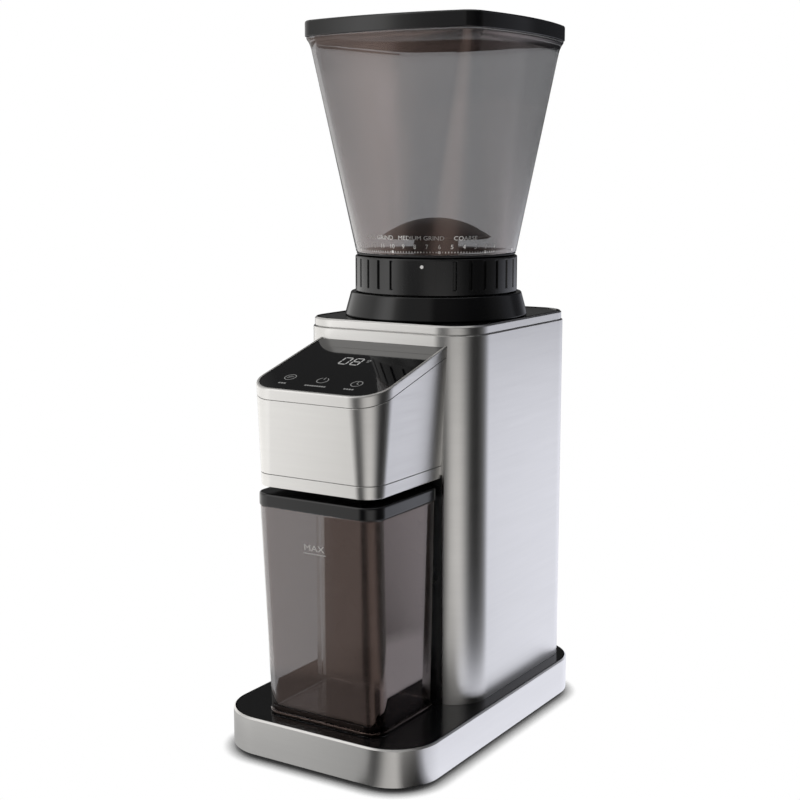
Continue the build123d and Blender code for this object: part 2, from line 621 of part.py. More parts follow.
def gearbox_cover():
    """Lid of the gearbox with the tall boss for the burr shaft's two bearings."""
    cover = stadium(CASE_R, CASE_TOP, COVER_TOP)
    for x, y in EAR_POINTS:
        cover += disc(5, CASE_TOP, COVER_TOP, x, y)
    cover += disc(14, COVER_TOP, BOSS_TOP)
    cover -= disc(11 + PRESS, CASE_TOP - 1, CASE_TOP + 8)
    cover -= disc(8, CASE_TOP, BOSS_TOP + 1)
    cover -= disc(11 + PRESS, BOSS_TOP - 8, BOSS_TOP + 1)
    cover -= disc(GEAR_PIN_R + PRESS, CASE_TOP - 1, CASE_TOP + 2, 0, IDLER_Y)
    for x, y in EAR_POINTS:
        cover -= disc(1.5 + PRESS, CASE_TOP - 1, COVER_TOP + 1, x, y)
    return cover


def shaft_bearings():
    """Two ball bearings in the boss, drawn as grooved rings."""
    rings = []
    for z0 in (CASE_TOP + 1, BOSS_TOP - 7.5):
        ring = tube(11, SHAFT_R + RUNNING, z0, z0 + 7)
        ring -= tube(9, 6.2, z0 + 6.4, z0 + 8)
        rings.extend(ring.solids())
    return Compound(rings)


def gear_pin():
    """Fixed pin of the reduction gear."""
    return disc(GEAR_PIN_R, CASE_Z + 1, CASE_TOP + 2, 0, IDLER_Y)


def reduction_gear():
    """Two-step gear: the motor drives the wheel, and the pinion on it drives the output gear."""
    wheel = gear(FIRST_TEETH, FIRST_MODULE, *FIRST_STAGE, IDLER_Y, -90 + 180 / FIRST_TEETH)
    pinion = gear(SECOND_TEETH, SECOND_MODULE, FIRST_STAGE[1], SECOND_STAGE[1] + 0.5, IDLER_Y,
                  -90 + 180 / SECOND_TEETH)
    body = wheel + pinion
    for k in range(6):
        angle = radians(60 * k)
        body -= disc(4, 150, FIRST_STAGE[1], 15 * cos(angle), IDLER_Y + 15 * sin(angle))
    return body - disc(GEAR_PIN_R + RUNNING, 150, 180, 0, IDLER_Y)


def output_gear():
    """Driven gear on the foot of the burr shaft."""
    wheel = gear(OUTPUT_TEETH, SECOND_MODULE, *SECOND_STAGE, AXIS_Y, 90)
    for x, y, _ in spoke_points(6, 14):
        wheel -= disc(3.6, 160, 180, x, y)
    return wheel - disc(SHAFT_R + PRESS, 160, 180)


def gearbox_isolators():
    """Rubber grommets between the chassis shelf and the gearbox ears."""
    pads = [disc(5, 146.8, CASE_Z, x, y) for x, y in EAR_POINTS]
    return Compound([solid for pad in pads for solid in pad.solids()])


def gearbox_screws():
    """Four screws through the gearbox ears."""
    screws = []
    for x, y in EAR_POINTS:
        screw = disc(3.0, COVER_TOP, COVER_TOP + 2.4, x, y) + disc(1.5, CASE_Z + 9, COVER_TOP, x, y)
        screw -= block(x - 2, x + 2, y - 0.4, y + 0.4, COVER_TOP + 1.4, COVER_TOP + 3)
        screws.extend(screw.solids())
    return Compound(screws)


# ---------------------------------------------------------------- burr set
BURR_Z, BURR_TOP, BURR_R = 212.0, 238.0, 19.6
RING_BURR_Z, RING_BURR_TOP, RING_BURR_R = 213.0, 233.0, 27.6
KEYS, KEY_W = 3, 6.0


def grinding_chamber():
    """Die-cast cup round the burrs, standing on the gearbox cover, open to the chute."""
    cup = disc(CHAMBER_R, BOSS_TOP, CHAMBER_TOP) - disc(CHAMBER_BORE_R, CHAMBER_FLOOR, CHAMBER_TOP + 1)
    for x, y, _ in spoke_points(3, 26, 90):
        cup += disc(4, COVER_TOP, BOSS_TOP, x, y)
    cup -= disc(9, BOSS_TOP - 1, CHAMBER_FLOOR + 1)
    cup -= block(-CHUTE_HALF_W + CHUTE_WALL, CHUTE_HALF_W - CHUTE_WALL, -20, 0, CHAMBER_FLOOR, 216)
    for x, y, angle in spoke_points(KEYS, CHAMBER_BORE_R, 30):
        cup -= Pos(x, y, 238) * Rot(0, 0, angle) * Box(3.4, KEY_W + 0.8, 20)
    return cup


def shaft_seal():
    """Felt ring that keeps grounds out of the bearings."""
    return tube(9 - PRESS, SHAFT_R + 0.08, BOSS_TOP, CHAMBER_FLOOR)


def burr_shaft():
    """Upright shaft from the output gear to the burr."""
    return disc(SHAFT_R, 163.6, 244.0)


def impeller():
    """Sweeper under the burr that carries grounds to the outlet."""
    wheel = disc(9, CHAMBER_FLOOR + 0.5, BURR_Z) + disc(33, CHAMBER_FLOOR + 0.5, CHAMBER_FLOOR + 2.1)
    for _, _, angle in spoke_points(4, 20):
        vane = Pos(0, AXIS_Y, 0) * Rot(0, 0, angle) * block(8, 37.5, -1.2, 1.2, CHAMBER_FLOOR + 0.5, 209)
        wheel += vane
    return wheel - disc(SHAFT_R + PRESS, 200, 215)


def conical_burr():
    """Turning inner burr: six breaker flutes over a ring of fine teeth."""
    cone = turned((0, BURR_Z), (BURR_R, BURR_Z), (BURR_R, BURR_Z + 2.5), (15.8, 222), (8.4, BURR_TOP),
                  (0, BURR_TOP))
    for _, _, angle in spoke_points(6, 1):
        flute = Pos(13.6, 0, 0) * Rot(28, -26, 0) * Cylinder(3.6, 30)
        cone -= Pos(0, AXIS_Y, 231) * Rot(0, 0, angle) * flute
    for _, _, angle in spoke_points(30, 1, 4):
        tooth = Pos(BURR_R, 0, 0) * Rot(24, -14, 45) * Box(1.6, 1.6, 14)
        cone -= Pos(0, AXIS_Y, BURR_Z + 4) * Rot(0, 0, angle) * tooth
    return cone - disc(SHAFT_R + PRESS, 200, 245)


def burr_nut():
    """Hexagon nut that holds the burr on its shaft."""
    nut = Pos(0, AXIS_Y, BURR_TOP) * extrude(RegularPolygon(6.5, 6, major_radius=False), 5)
    return nut - disc(SHAFT_R + PRESS, 230, 250)


def ring_burr():
    """Fixed outer burr with coarse and fine teeth on its bore."""
    ring = turned((20.5, RING_BURR_Z), (RING_BURR_R, RING_BURR_Z), (RING_BURR_R, RING_BURR_TOP),
                  (25.2, RING_BURR_TOP), (20.5, RING_BURR_Z + 3.5))
    for _, _, angle in spoke_points(12, 1):
        groove = Pos(23.2, 0, 0) * Rot(-16, 14, 45) * Box(3.2, 3.2, 24)
        ring -= Pos(0, AXIS_Y, 226) * Rot(0, 0, angle) * groove
    return ring


def burr_carrier():
    """Holder of the ring burr: it rises and falls on the ring's thread and takes the hopper's neck."""
    body = turned((31, 213.5), (31, 224), (CARRIER_R, 230), (CARRIER_R, 268), (36.6, 268), (36.6, 256),
                  (33.4, 256), (26.6, 236), (26.6, 233.1), (RING_BURR_R + 0.1, 233.1),
                  (RING_BURR_R + 0.1, 213.5))
    for x, y, angle in spoke_points(KEYS, CHAMBER_BORE_R - 0.4, 30):
        body += Pos(x, y, 236.5) * Rot(0, 0, angle) * Box(3.4, KEY_W, 9)
    for x, y, angle in spoke_points(3, 37.2, 90):
        body -= Pos(x, y, 264) * Rot(0, 0, angle) * Box(4.0, 9.2, 14)
    return body


# ---------------------------------------------------------------- collar and adjusting ring
DETENT_R, DETENT_BALL_R = 45.6, 1.15


def collar():
    """Fixed cone on top of the tower; its inner ledge holds the adjusting ring down."""
    cone = turned((46.4, TOWER_TOP - 0.3), (COLLAR_LOW_R - 1.2, TOWER_TOP - 0.3),
                  (COLLAR_LOW_R, TOWER_TOP + 1.2), (COLLAR_TOP_R + 0.6, COLLAR_TOP - 0.8),
                  (COLLAR_TOP_R - 0.8, COLLAR_TOP), (44.3, COLLAR_TOP), (44.3, 247.0), (46.4, 247.0))
    return cone - disc(1.3, 248.2, COLLAR_TOP + 1, 0, AXIS_Y + DETENT_R)


def adjusting_ring():
    """Ribbed grip ring with a smooth pad for its pointer; its bore carries the fine thread."""
    ring = turned((RING_BORE_R, 244.0), (46.0, 244.0), (46.0, 246.4), (43.9, 246.4),
                  (43.9, COLLAR_TOP + GAP), (RING_R - 0.4, COLLAR_TOP + GAP),
                  (RING_R, COLLAR_TOP + 0.8), (RING_R, RING_TOP - 0.8), (RING_R - 0.8, RING_TOP),
                  (RING_BORE_R, RING_TOP))
    for k in range(PAD_GROOVES + 1, RING_GROOVES - PAD_GROOVES):
        angle = azimuth(POINTER_AZIMUTH + 360 * k / RING_GROOVES)
        x, y = RING_R * cos(radians(angle)), AXIS_Y + RING_R * sin(radians(angle))
        ring -= Pos(x, y, 264.2) * Rot(0, 0, angle) * Box(2.2, 2.0, 16.4)
    for k in range(CLICKS):
        angle = radians(90 + CLICK_ANGLE * (k - 10))
        ring -= disc(1.0, 250, COLLAR_TOP + 1.1, DETENT_R * cos(angle), AXIS_Y + DETENT_R * sin(angle))
    return ring


def detent_ball():
    """Ball that clicks in the dimples under the ring."""
    return Pos(0, AXIS_Y + DETENT_R, 251.0) * Sphere(DETENT_BALL_R)


def detent_spring():
    """Coil spring under the ball, drawn at its outer shape."""
    return tube(1.15, 0.6, 248.2, 249.8, 0, AXIS_Y + DETENT_R)


# ---------------------------------------------------------------- hopper
HOPPER_LOW = (45.8, 52.0, 41.0)          # half width, side radius and corner radius at the bottom
HOPPER_HIGH = (60.6, 225.0, 11.4)        # and at the rim
HOPPER_WALL = 2.2
HOPPER_WALL_Z, NECK_R, NECK_BORE_R, NECK_Z, FLOOR_TOP = 275.2, 36.2, 33.4, 257.0, 276.2
LID_SIZES = (62.4, 225.0, 11.4)         # of the lid over it
RIM_FLANGE, RIM_FLANGE_Z, RIM_COLLAR_STEP, RIM_COLLAR_TOP = 1.4, 394.6, 0.2, 401.8
LID_FIT, LID_WALL = 0.2, 2.4


def rim_slab(inset, z0, z1):
    """Plate of the hopper's outline at its rim, drawn in by inset."""
    return bowed_slab(HOPPER_HIGH[0] - inset, HOPPER_HIGH[1] - inset, HOPPER_HIGH[2] - inset, z0, z1)


def hopper_solid(inset, z0, z1):
    """The hopper's flared body, drawn in by inset."""
    low = bowed_outline(HOPPER_LOW[0] - inset, HOPPER_LOW[1] - inset, HOPPER_LOW[2] - inset, z0)
    high = bowed_outline(HOPPER_HIGH[0] - inset, HOPPER_HIGH[1] - inset, HOPPER_HIGH[2] - inset, z1)
    return Solid.make_loft([low, high], ruled=True)


def hopper():
    """Clear wall of the hopper, round at the bottom and square at the rim, with a flange under the lid."""
    wall = hopper_solid(0, HOPPER_Z, HOPPER_RIM) - block(-70, 70, -40, 100, HOPPER_Z - 1, HOPPER_WALL_Z)
    wall += rim_slab(-RIM_FLANGE, RIM_FLANGE_Z, HOPPER_RIM)
    wall += rim_slab(RIM_COLLAR_STEP, RIM_FLANGE_Z, RIM_COLLAR_TOP)
    wall -= hopper_solid(HOPPER_WALL, HOPPER_Z, HOPPER_RIM)
    return wall - rim_slab(HOPPER_WALL, HOPPER_RIM - 0.01, RIM_COLLAR_TOP + 1)


def hopper_base():
    """Dark floor of the hopper, with the bayonet neck that turns into the burr carrier."""
    base = bowed_slab(*HOPPER_LOW, HOPPER_Z, HOPPER_WALL_Z)
    base += bowed_slab(*(size - HOPPER_WALL for size in HOPPER_LOW), HOPPER_WALL_Z, FLOOR_TOP)
    base += disc(NECK_R, NECK_Z, HOPPER_Z + 0.5)
    for x, y, angle in spoke_points(3, 37.0, 90):
        base += Pos(x, y, 259.5) * Rot(0, 0, angle) * Box(3.0, 8.0, 3.4)
    return base - disc(NECK_BORE_R, NECK_Z - 1, FLOOR_TOP + 1)


def bean_guard():
    """Umbrella over the burrs on a hollow stem, with three ribs to a ring in the neck."""
    dome_top, rim_z, dome_r, wall = 295.0, 284.0, 32.0, 2.0

    def bow(radius, top, low):
        sphere_r = (radius ** 2 + (top - low) ** 2) / (2 * (top - low))
        return Pos(0, AXIS_Y, top - sphere_r) * Sphere(sphere_r)

    dome = bow(dome_r, dome_top, rim_z) & disc(dome_r, rim_z, dome_top + 1)
    dome -= bow(dome_r - 0.6, dome_top - wall, rim_z - 0.6) & disc(dome_r - 1.6, rim_z - 1, dome_top)
    guard = dome + tube(13, 11, 262, 292.3) + tube(NECK_BORE_R - 0.1, 31.2, 262, 267)
    for _, _, angle in spoke_points(3, 1, 30):
        guard += Pos(0, AXIS_Y, 0) * Rot(0, 0, angle) * block(12, 32.2, -1.3, 1.3, 262, 267)
    return guard


def hopper_lid():
    """Square cap with bulging sides; its hollow fits over the collar on the hopper's rim."""
    lid = bowed_slab(*LID_SIZES, LID_Z, LID_TOP)
    lid = fillet(lid.faces().sort_by(Axis.Z)[-1].edges(), 1.4)
    return lid - rim_slab(-LID_FIT, LID_Z - 1, LID_TOP - LID_WALL)


# ---------------------------------------------------------------- electronics in the tower
BOARD_Y = 84.0


def power_board():
    """Upright power board behind the motor."""
    return block(-33, 33, BOARD_Y, BOARD_Y + 1.6, 36, 136)


def board_components():
    """Relay, mains filter, capacitors and heat sink on the power board."""
    items = [block(-30, -6, BOARD_Y - 15, BOARD_Y, 42, 58), block(4, 28, BOARD_Y - 17, BOARD_Y, 42, 62),
             block(-30, -12, BOARD_Y - 12, BOARD_Y, 108, 130)]
    for x, z in [(-22, 74), (-22, 90), (22, 78)]:
        items.append(rod_y(6.0, BOARD_Y - 16, BOARD_Y, x, z))
    for k in range(5):
        items.append(block(-4 + 6 * k, -2 + 6 * k, BOARD_Y - 12, BOARD_Y, 100, 128))
    return Compound([solid for item in items for solid in item.solids()])


# ---------------------------------------------------------------- export
SUBPARTS = [
    base_band, base_tray, base_underplate, feet, base_screws,
    tower_wrap, tower_trim_band, tower_top_plate, tower_front_panel, rear_vent_panel, cord_gland, chassis,
    bin_sensor_plunger, bin_sensor_switch,
    head_top_frame, head_shell, head_lower_trim, control_glass, control_board, digit_display, touch_sensors,
    head_bottom_cover, grounds_chute, chute_seal,
    grounds_bin, bin_lid,
    motor_can, motor_screws, motor_end_bell, motor_brushes, motor_bushes, motor_magnets,
    motor_armature, motor_pinion,
    gearbox_case, gearbox_cover, shaft_bearings, gear_pin, reduction_gear, output_gear, gearbox_isolators,
    gearbox_screws,
    grinding_chamber, shaft_seal, burr_shaft, impeller, conical_burr, burr_nut, ring_burr, burr_carrier,
    collar, adjusting_ring, detent_ball, detent_spring,
    hopper, hopper_base, bean_guard, hopper_lid,
    power_board, board_components,
]

os.makedirs("parts", exist_ok=True)
for make in SUBPARTS:
    export_step(make(), f"parts/{make.__name__}.step")
    print(make.__name__)
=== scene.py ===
"""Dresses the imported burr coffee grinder: numpy surfaces, procedural finishes and a plain studio."""

import json
from math import cos, pi, radians, sin, tan

import bpy
import numpy as np
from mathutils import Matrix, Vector

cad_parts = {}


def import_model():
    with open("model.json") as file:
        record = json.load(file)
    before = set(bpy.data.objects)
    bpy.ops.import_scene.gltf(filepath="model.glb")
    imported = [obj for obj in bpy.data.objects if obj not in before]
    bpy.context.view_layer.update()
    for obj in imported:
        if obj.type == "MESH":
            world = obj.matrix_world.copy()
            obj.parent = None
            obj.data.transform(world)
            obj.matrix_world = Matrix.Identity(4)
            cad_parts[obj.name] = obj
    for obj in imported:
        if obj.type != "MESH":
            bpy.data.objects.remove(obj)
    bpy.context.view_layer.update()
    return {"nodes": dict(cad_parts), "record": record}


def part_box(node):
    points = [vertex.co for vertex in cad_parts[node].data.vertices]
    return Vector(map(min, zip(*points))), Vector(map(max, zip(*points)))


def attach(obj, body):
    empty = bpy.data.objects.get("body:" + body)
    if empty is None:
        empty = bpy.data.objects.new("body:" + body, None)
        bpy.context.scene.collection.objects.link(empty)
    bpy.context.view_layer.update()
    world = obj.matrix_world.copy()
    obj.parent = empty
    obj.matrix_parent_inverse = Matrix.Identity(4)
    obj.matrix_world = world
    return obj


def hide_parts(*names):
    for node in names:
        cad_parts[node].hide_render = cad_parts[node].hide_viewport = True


bl_info = {
    "name": "Burr coffee grinder",
    "version": (1, 0, 0),
    "blender": (4, 5, 0),
    "location": "3D View > Sidebar > Grinder",
    "description": "Builds the looks of a burr coffee grinder around its packed parts",
    "category": "Object",
}

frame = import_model()
SLOT_OF = {sub["node"]: sub["material_slot"] for sub in frame["record"]["subparts"]}
MM = 0.001
X, Y, Z = 0, 1, 2


def low(part, axis):
    """Lowest coordinate of a CAD node along an axis, in millimetres."""
    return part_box(part)[0][axis] / MM


def high(part, axis):
    """Highest coordinate of a CAD node along an axis, in millimetres."""
    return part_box(part)[1][axis] / MM


AXIS_Y = (low("adjusting_ring", Y) + high("adjusting_ring", Y)) / 2


# ---------------------------------------------------------------- settings
def length(name, description, default_mm):
    """A length property that is given in millimetres and kept in metres."""
    return bpy.props.FloatProperty(name=name, description=description, default=default_mm * MM,
                                   subtype="DISTANCE", unit="LENGTH")


def linear(text):
    """Linear RGBA of an sRGB hex colour."""
    value = np.array([int(text[i:i + 2], 16) for i in (0, 2, 4)]) / 255
    return (*np.where(value <= 0.04045, value / 12.92, ((value + 0.055) / 1.055) ** 2.4), 1.0)


def colour(name, description, text):
    """A colour property whose default is an sRGB hex value."""
    return bpy.props.FloatVectorProperty(name=name, description=description, size=4, subtype="COLOR",
                                         default=linear(text), min=0, max=1)


class GrinderSizes(bpy.types.PropertyGroup):
    """Sizes that the CAD's boxes don't give"""
    sheet: length("Sheet", "Thickness of the steel casings", 1.6)
    base_corner: length("Base corner", "Plan radius of the base's corners", 27.6)
    tower_front_corner: length("Tower front corner", "Plan radius of the tower's front corners", 22.5)
    tower_back_corner: length("Tower back corner", "Plan radius of the tower's back corners", 21.1)
    head_top_corner: length("Head top corner", "Corner radius at the head's sloped rim", 16.7)
    head_low_corner: length("Head low corner", "Corner radius at the head's underside", 10.9)
    groove_depth: length("Groove depth", "Depth of the grip grooves in the ring", 1.1)
    groove_width: length("Groove width", "Width of the grip grooves in the ring", 2.2)
    digit_height: length("Digit height", "Height of the display's digits", 8.4)


class GrinderColours(bpy.types.PropertyGroup):
    """Colours of the casings, mouldings and marks"""
    steel: colour("Steel", "Brushed stainless steel", "CBCAC8")
    black: colour("Black", "Black mouldings", "0B0B0C")
    smoke: colour("Smoke", "Tint at each face of the smoky plastic", "C2C1C2")
    smoke_depth: colour("Smoke depth", "Tint deep in the smoky plastic", "05090A")
    smoke_sheen: colour("Smoke sheen", "What the smoky plastic mirrors face on", "FFDDD0")
    mark: colour("Marks", "Printed and lit marks", "E6E6E4")


def size(name):
    """A size setting in millimetres."""
    return getattr(bpy.context.scene.grinder_sizes, name) / MM


def tint(name):
    """A colour setting."""
    return tuple(getattr(bpy.context.scene.grinder_colours, name))


# ---------------------------------------------------------------- surfaces
# In millimetres: the radius that stands for a point, and how far marks stand off what they are printed on.
TINY, STAND_OFF = 0.01, 0.06
# Shares: a guard point's distance from its arc over the radius, and a capital's height over its line's.
EASE, CAP_HEIGHT = 0.06, 0.69


def placed(name, data):
    """Object of the given data, in the scene."""
    piece = bpy.data.objects.new(name, data)
    bpy.context.scene.collection.objects.link(piece)
    return piece


def grid_faces(rows, columns, close_rows, close_columns):
    """Quads of a grid of points numbered row by row, wrapped round where a direction is closed."""
    i = np.arange(rows if close_rows else rows - 1)[:, None]
    j = np.arange(columns if close_columns else columns - 1)[None, :]
    up, across = (i + 1) % rows, (j + 1) % columns
    corners = [i * columns + j, i * columns + across, up * columns + across, up * columns + j]
    return np.stack([np.broadcast_to(c, (i.size, j.size)) for c in corners], -1).astype(np.int32)


def add_mesh(name, points, loops, sizes, crease=35):
    """Object from points in millimetres and faces given as one list of corners and their counts."""
    mesh = bpy.data.meshes.new(name)
    mesh.vertices.add(len(points))
    mesh.vertices.foreach_set("co", (np.asarray(points, np.float32) * MM).ravel())
    mesh.loops.add(len(loops))
    mesh.loops.foreach_set("vertex_index", np.asarray(loops, np.int32))
    mesh.polygons.add(len(sizes))
    starts = np.concatenate([[0], np.cumsum(sizes)[:-1]])
    mesh.polygons.foreach_set("loop_start", starts.astype(np.int32))
    mesh.update(calc_edges=True)
    mesh.validate()
    mesh.shade_smooth()
    mesh.set_sharp_from_angle(angle=radians(crease))
    return placed(name, mesh)


def surface(name, points, close_rows=False, close_columns=True, cap_ends=False, cap_sides=False, keep=None,
            crease=35):
    """Grid surface through rows of points. Columns run anticlockwise seen from above and rows run up the
    outside, so that faces point outwards. Caps are single faces on the first and last rows, or on the two
    open sides of a closed row direction; keep masks the quads that stay."""
    points = np.asarray(points)
    rows, columns = points.shape[:2]
    quads = grid_faces(rows, columns, close_rows, close_columns)
    quads = quads[keep] if keep is not None else quads.reshape(-1, 4)
    index = np.arange(rows * columns).reshape(rows, columns)
    caps = [index[0][::-1], index[-1]] if cap_ends else []
    if cap_sides:
        caps += [index[:, 0], index[::-1, -1]]
    sizes = np.concatenate([np.full(len(quads), 4), [len(cap) for cap in caps]]).astype(int)
    return add_mesh(name, points.reshape(-1, 3), np.concatenate([quads.ravel(), *caps]), sizes, crease)


def eased(corners, radii, steps=4, closed=True, guard=0.35):
    """Profile through corner points, each rounded by a tangent arc: the arc's centre lies on the corner's
    bisector at radius over the sine of the half angle. A guard point on each side keeps flats flat."""
    corners = np.asarray(corners, float)
    count = len(corners)
    profile = []
    for k, radius in enumerate(np.broadcast_to(radii, count)):
        at = corners[k]
        if radius == 0 or (not closed and k in (0, count - 1)):
            profile.append(at[None])
            continue
        back, ahead = corners[k - 1] - at, corners[(k + 1) % count] - at
        back, ahead = back / np.linalg.norm(back), ahead / np.linalg.norm(ahead)
        half = np.arccos(np.clip(back @ ahead, -1, 1)) / 2
        reach = radius / tan(half)
        bisector = (back + ahead) / np.linalg.norm(back + ahead)
        centre = at + bisector * radius / sin(half)
        start, stop = at + back * reach - centre, at + ahead * reach - centre
        turn = pi - 2 * half
        t = np.linspace(0, 1, steps + 1)[:, None]
        arc = (np.sin((1 - t) * turn) * start + np.sin(t * turn) * stop) / sin(turn)
        guards = at + back * (reach + guard * radius), at + ahead * (reach + guard * radius)
        profile += [guards[0][None], centre + arc, guards[1][None]]
    return np.concatenate(profile)


def full_turn(steps):
    """Evenly spaced angles round a circle."""
    return np.arange(steps) * 2 * pi / steps


def on_circle(cx, cy, radius, angle):
    """Points (x, y) of a circle about (cx, cy) at the given angles."""
    return np.stack([cx + radius * np.cos(angle), cy + radius * np.sin(angle)], -1)


def round_rect(half_w, front, back, r_front, r_back, steps=10, back_stops=()):
    """Anticlockwise rectangle with round corners as (columns, 2) points, with guard points beside each arc
    and extra points at given x on the back side."""
    def corner(x, y, radius, first):
        """One corner's quarter arc with a guard point on each side."""
        radius = max(radius, TINY)
        angles = radians(first) + np.linspace(0, pi / 2, steps + 1)
        cx, cy = x - np.sign(x) * radius, y + radius if y == front else y - radius
        arc = on_circle(cx, cy, radius, angles)
        before = arc[0] + EASE * radius * np.array([sin(angles[0]), -cos(angles[0])])
        after = arc[-1] + EASE * radius * np.array([-sin(angles[-1]), cos(angles[-1])])
        return np.vstack([before, arc, after])

    stops = np.array([[x, back] for x in sorted(back_stops, reverse=True)]).reshape(-1, 2)
    return np.vstack([corner(half_w, front, r_front, 270), corner(half_w, back, r_back, 0), stops,
                      corner(-half_w, back, r_back, 90), corner(-half_w, front, r_front, 180)])


def bowed_square(half, side_r, corner_r, side_steps=14, corner_steps=12):
    """Anticlockwise square with bulging sides, as (columns, 2) points: each side is an arc of side_r whose
    centre is set back by side_r - half, and each corner arc touches both of its sides."""
    back = side_r - half
    reach = side_r - corner_r
    centre = (-2 * back + np.sqrt(4 * back ** 2 - 8 * (back ** 2 - reach ** 2))) / 4
    turn = np.arctan2(centre, centre + back)
    along_side = np.linspace(-turn, turn, side_steps, endpoint=False)
    round_corner = np.linspace(turn, pi / 2 - turn, corner_steps, endpoint=False)
    quarter = np.vstack([on_circle(-back, 0, side_r, along_side),
                         on_circle(centre, centre, corner_r, round_corner)])
    turns = [np.array([[cos(q), sin(q)], [-sin(q), cos(q)]]) for q in np.arange(4) * pi / 2]
    return np.vstack([quarter @ spin for spin in turns]) + [0, AXIS_Y]


def with_height(outline, height):
    """(columns, 3) points of an outline at one height or at a height for each column."""
    return np.column_stack([outline, np.broadcast_to(height, len(outline))])


def rings(outline, section):
    """Rows of points: an outline drawn in by the inset of each (inset, z) of a section."""
    return [with_height(outline(inset), z) for inset, z in section]


def polar(radius, bearing, z, centre=(0, AXIS_Y)):
    """Points at a radius and a bearing about an upright axis."""
    flat = on_circle(*centre, radius, bearing)
    return np.concatenate([flat, np.broadcast_to(z, flat.shape[:-1])[..., None]], -1)


def spoke(out, across, z, bearing):
    """Points of a shape that stands out from the upright axis at a bearing."""
    x = out * cos(bearing) - across * sin(bearing)
    y = AXIS_Y + out * sin(bearing) + across * cos(bearing)
    return np.stack([x, y, np.broadcast_to(z, x.shape)], -1)


def turned(name, profile, steps=128, close_rows=True, centre=(0, AXIS_Y), **how):
    """Surface of revolution: each (radius, z) of the profile is carried round the upright axis."""
    radius, z = np.asarray(profile, float).T[..., None]
    return surface(name, polar(radius, full_turn(steps), z, centre), close_rows, **how)


def smooth(share):
    """Smooth step: 3s^2 - 2s^3 of a share s."""
    return share * share * (3 - 2 * share)


# ---------------------------------------------------------------- flat marks
def flat_shapes(name, outlines, place):
    """Thin marks: each outline is a polygon of (x, y) that place(x, y) carries onto a surface."""
    flat = np.concatenate(outlines)
    return add_mesh(name, place(*flat.T), np.arange(len(flat)), [len(outline) for outline in outlines])


def disc_shape(cx, cy, radius, steps=24):
    """Polygon of a flat disc."""
    return on_circle(cx, cy, radius, full_turn(steps))


def ring_quads(cx, cy, radius, width, start=0.0, stop=360.0, steps=40):
    """Quads of a flat ring or arc of the given width about (cx, cy)."""
    angle = np.radians(np.linspace(start, stop, steps + 1))
    near, far = (on_circle(cx, cy, radius + side * width / 2, angle) for side in (-1, 1))
    return list(np.stack([near[:-1], far[:-1], far[1:], near[1:]], 1))


def stroke(x0, y0, x1, y1, width):
    """Quad of a straight stroke between two points."""
    a, b = np.array([x0, y0]), np.array([x1, y1])
    run = b - a
    side = np.array([-run[1], run[0]]) / np.linalg.norm(run) * width / 2
    return np.stack([a - side, b - side, b + side, a + side])


def lettering(text, height, width_share=1.0):
    """Triangles of a line of text, centred on the origin, as a list of (x, y) outlines."""
    curve = bpy.data.curves.new("lettering", "FONT")
    curve.body = text
    curve.align_x, curve.align_y = "CENTER", "CENTER"
    curve.size = 1.0
    curve.resolution_u = 3
    holder = placed("lettering", curve)
    mesh = bpy.data.meshes.new_from_object(holder.evaluated_get(bpy.context.evaluated_depsgraph_get()))
    mesh.calc_loop_triangles()
    points = np.empty(len(mesh.vertices) * 3)
    mesh.vertices.foreach_get("co", points)
    corners = np.empty(len(mesh.loop_triangles) * 3, np.int32)
    mesh.loop_triangles.foreach_get("vertices", corners)
    bpy.data.objects.remove(holder)
    bpy.data.curves.remove(curve)
    bpy.data.meshes.remove(mesh)
    flat = points.reshape(-1, 3)[:, :2]
    flat = (flat - (flat.max(0) + flat.min(0)) / 2) * height / CAP_HEIGHT * [width_share, 1]
    return list(flat[corners.reshape(-1, 3)])


# ---------------------------------------------------------------- materials
def node(tree, kind, inputs=None, **settings):
    """Adds a shader node, sets its attributes, and sets or links its inputs. A node that is given for an
    input stands for its own first output."""
    made = tree.nodes.new(kind)
    for key, value in settings.items():
        setattr(made, key, value)
    for key, value in (inputs or {}).items():
        if isinstance(value, bpy.types.Node):
            value = value.outputs[0]
        if isinstance(value, bpy.types.NodeSocket):
            tree.links.new(value, made.inputs[key])
        else:
            made.inputs[key].default_value = value
    return made


def new_material(name):
    """Empty node material, its tree and a place in the object's own measure."""
    material = bpy.data.materials.new(name)
    material.use_nodes = True
    tree = material.node_tree
    tree.nodes.clear()
    return material, tree, node(tree, "ShaderNodeTexCoord").outputs["Object"]


def clouds(tree, place, width, lowest, highest, detail=3.0, least=0.3, most=0.7):
    """A value that drifts between two levels in clouds of a width in millimetres; least and most are the
    noise that the levels stand for."""
    cloud = node(tree, "ShaderNodeTexNoise", {"Vector": place, "Scale": 1 / (width * MM), "Detail": detail})
    return node(tree, "ShaderNodeMapRange", {"Value": cloud, "From Min": least, "From Max": most,
                                             "To Min": lowest, "To Max": highest})


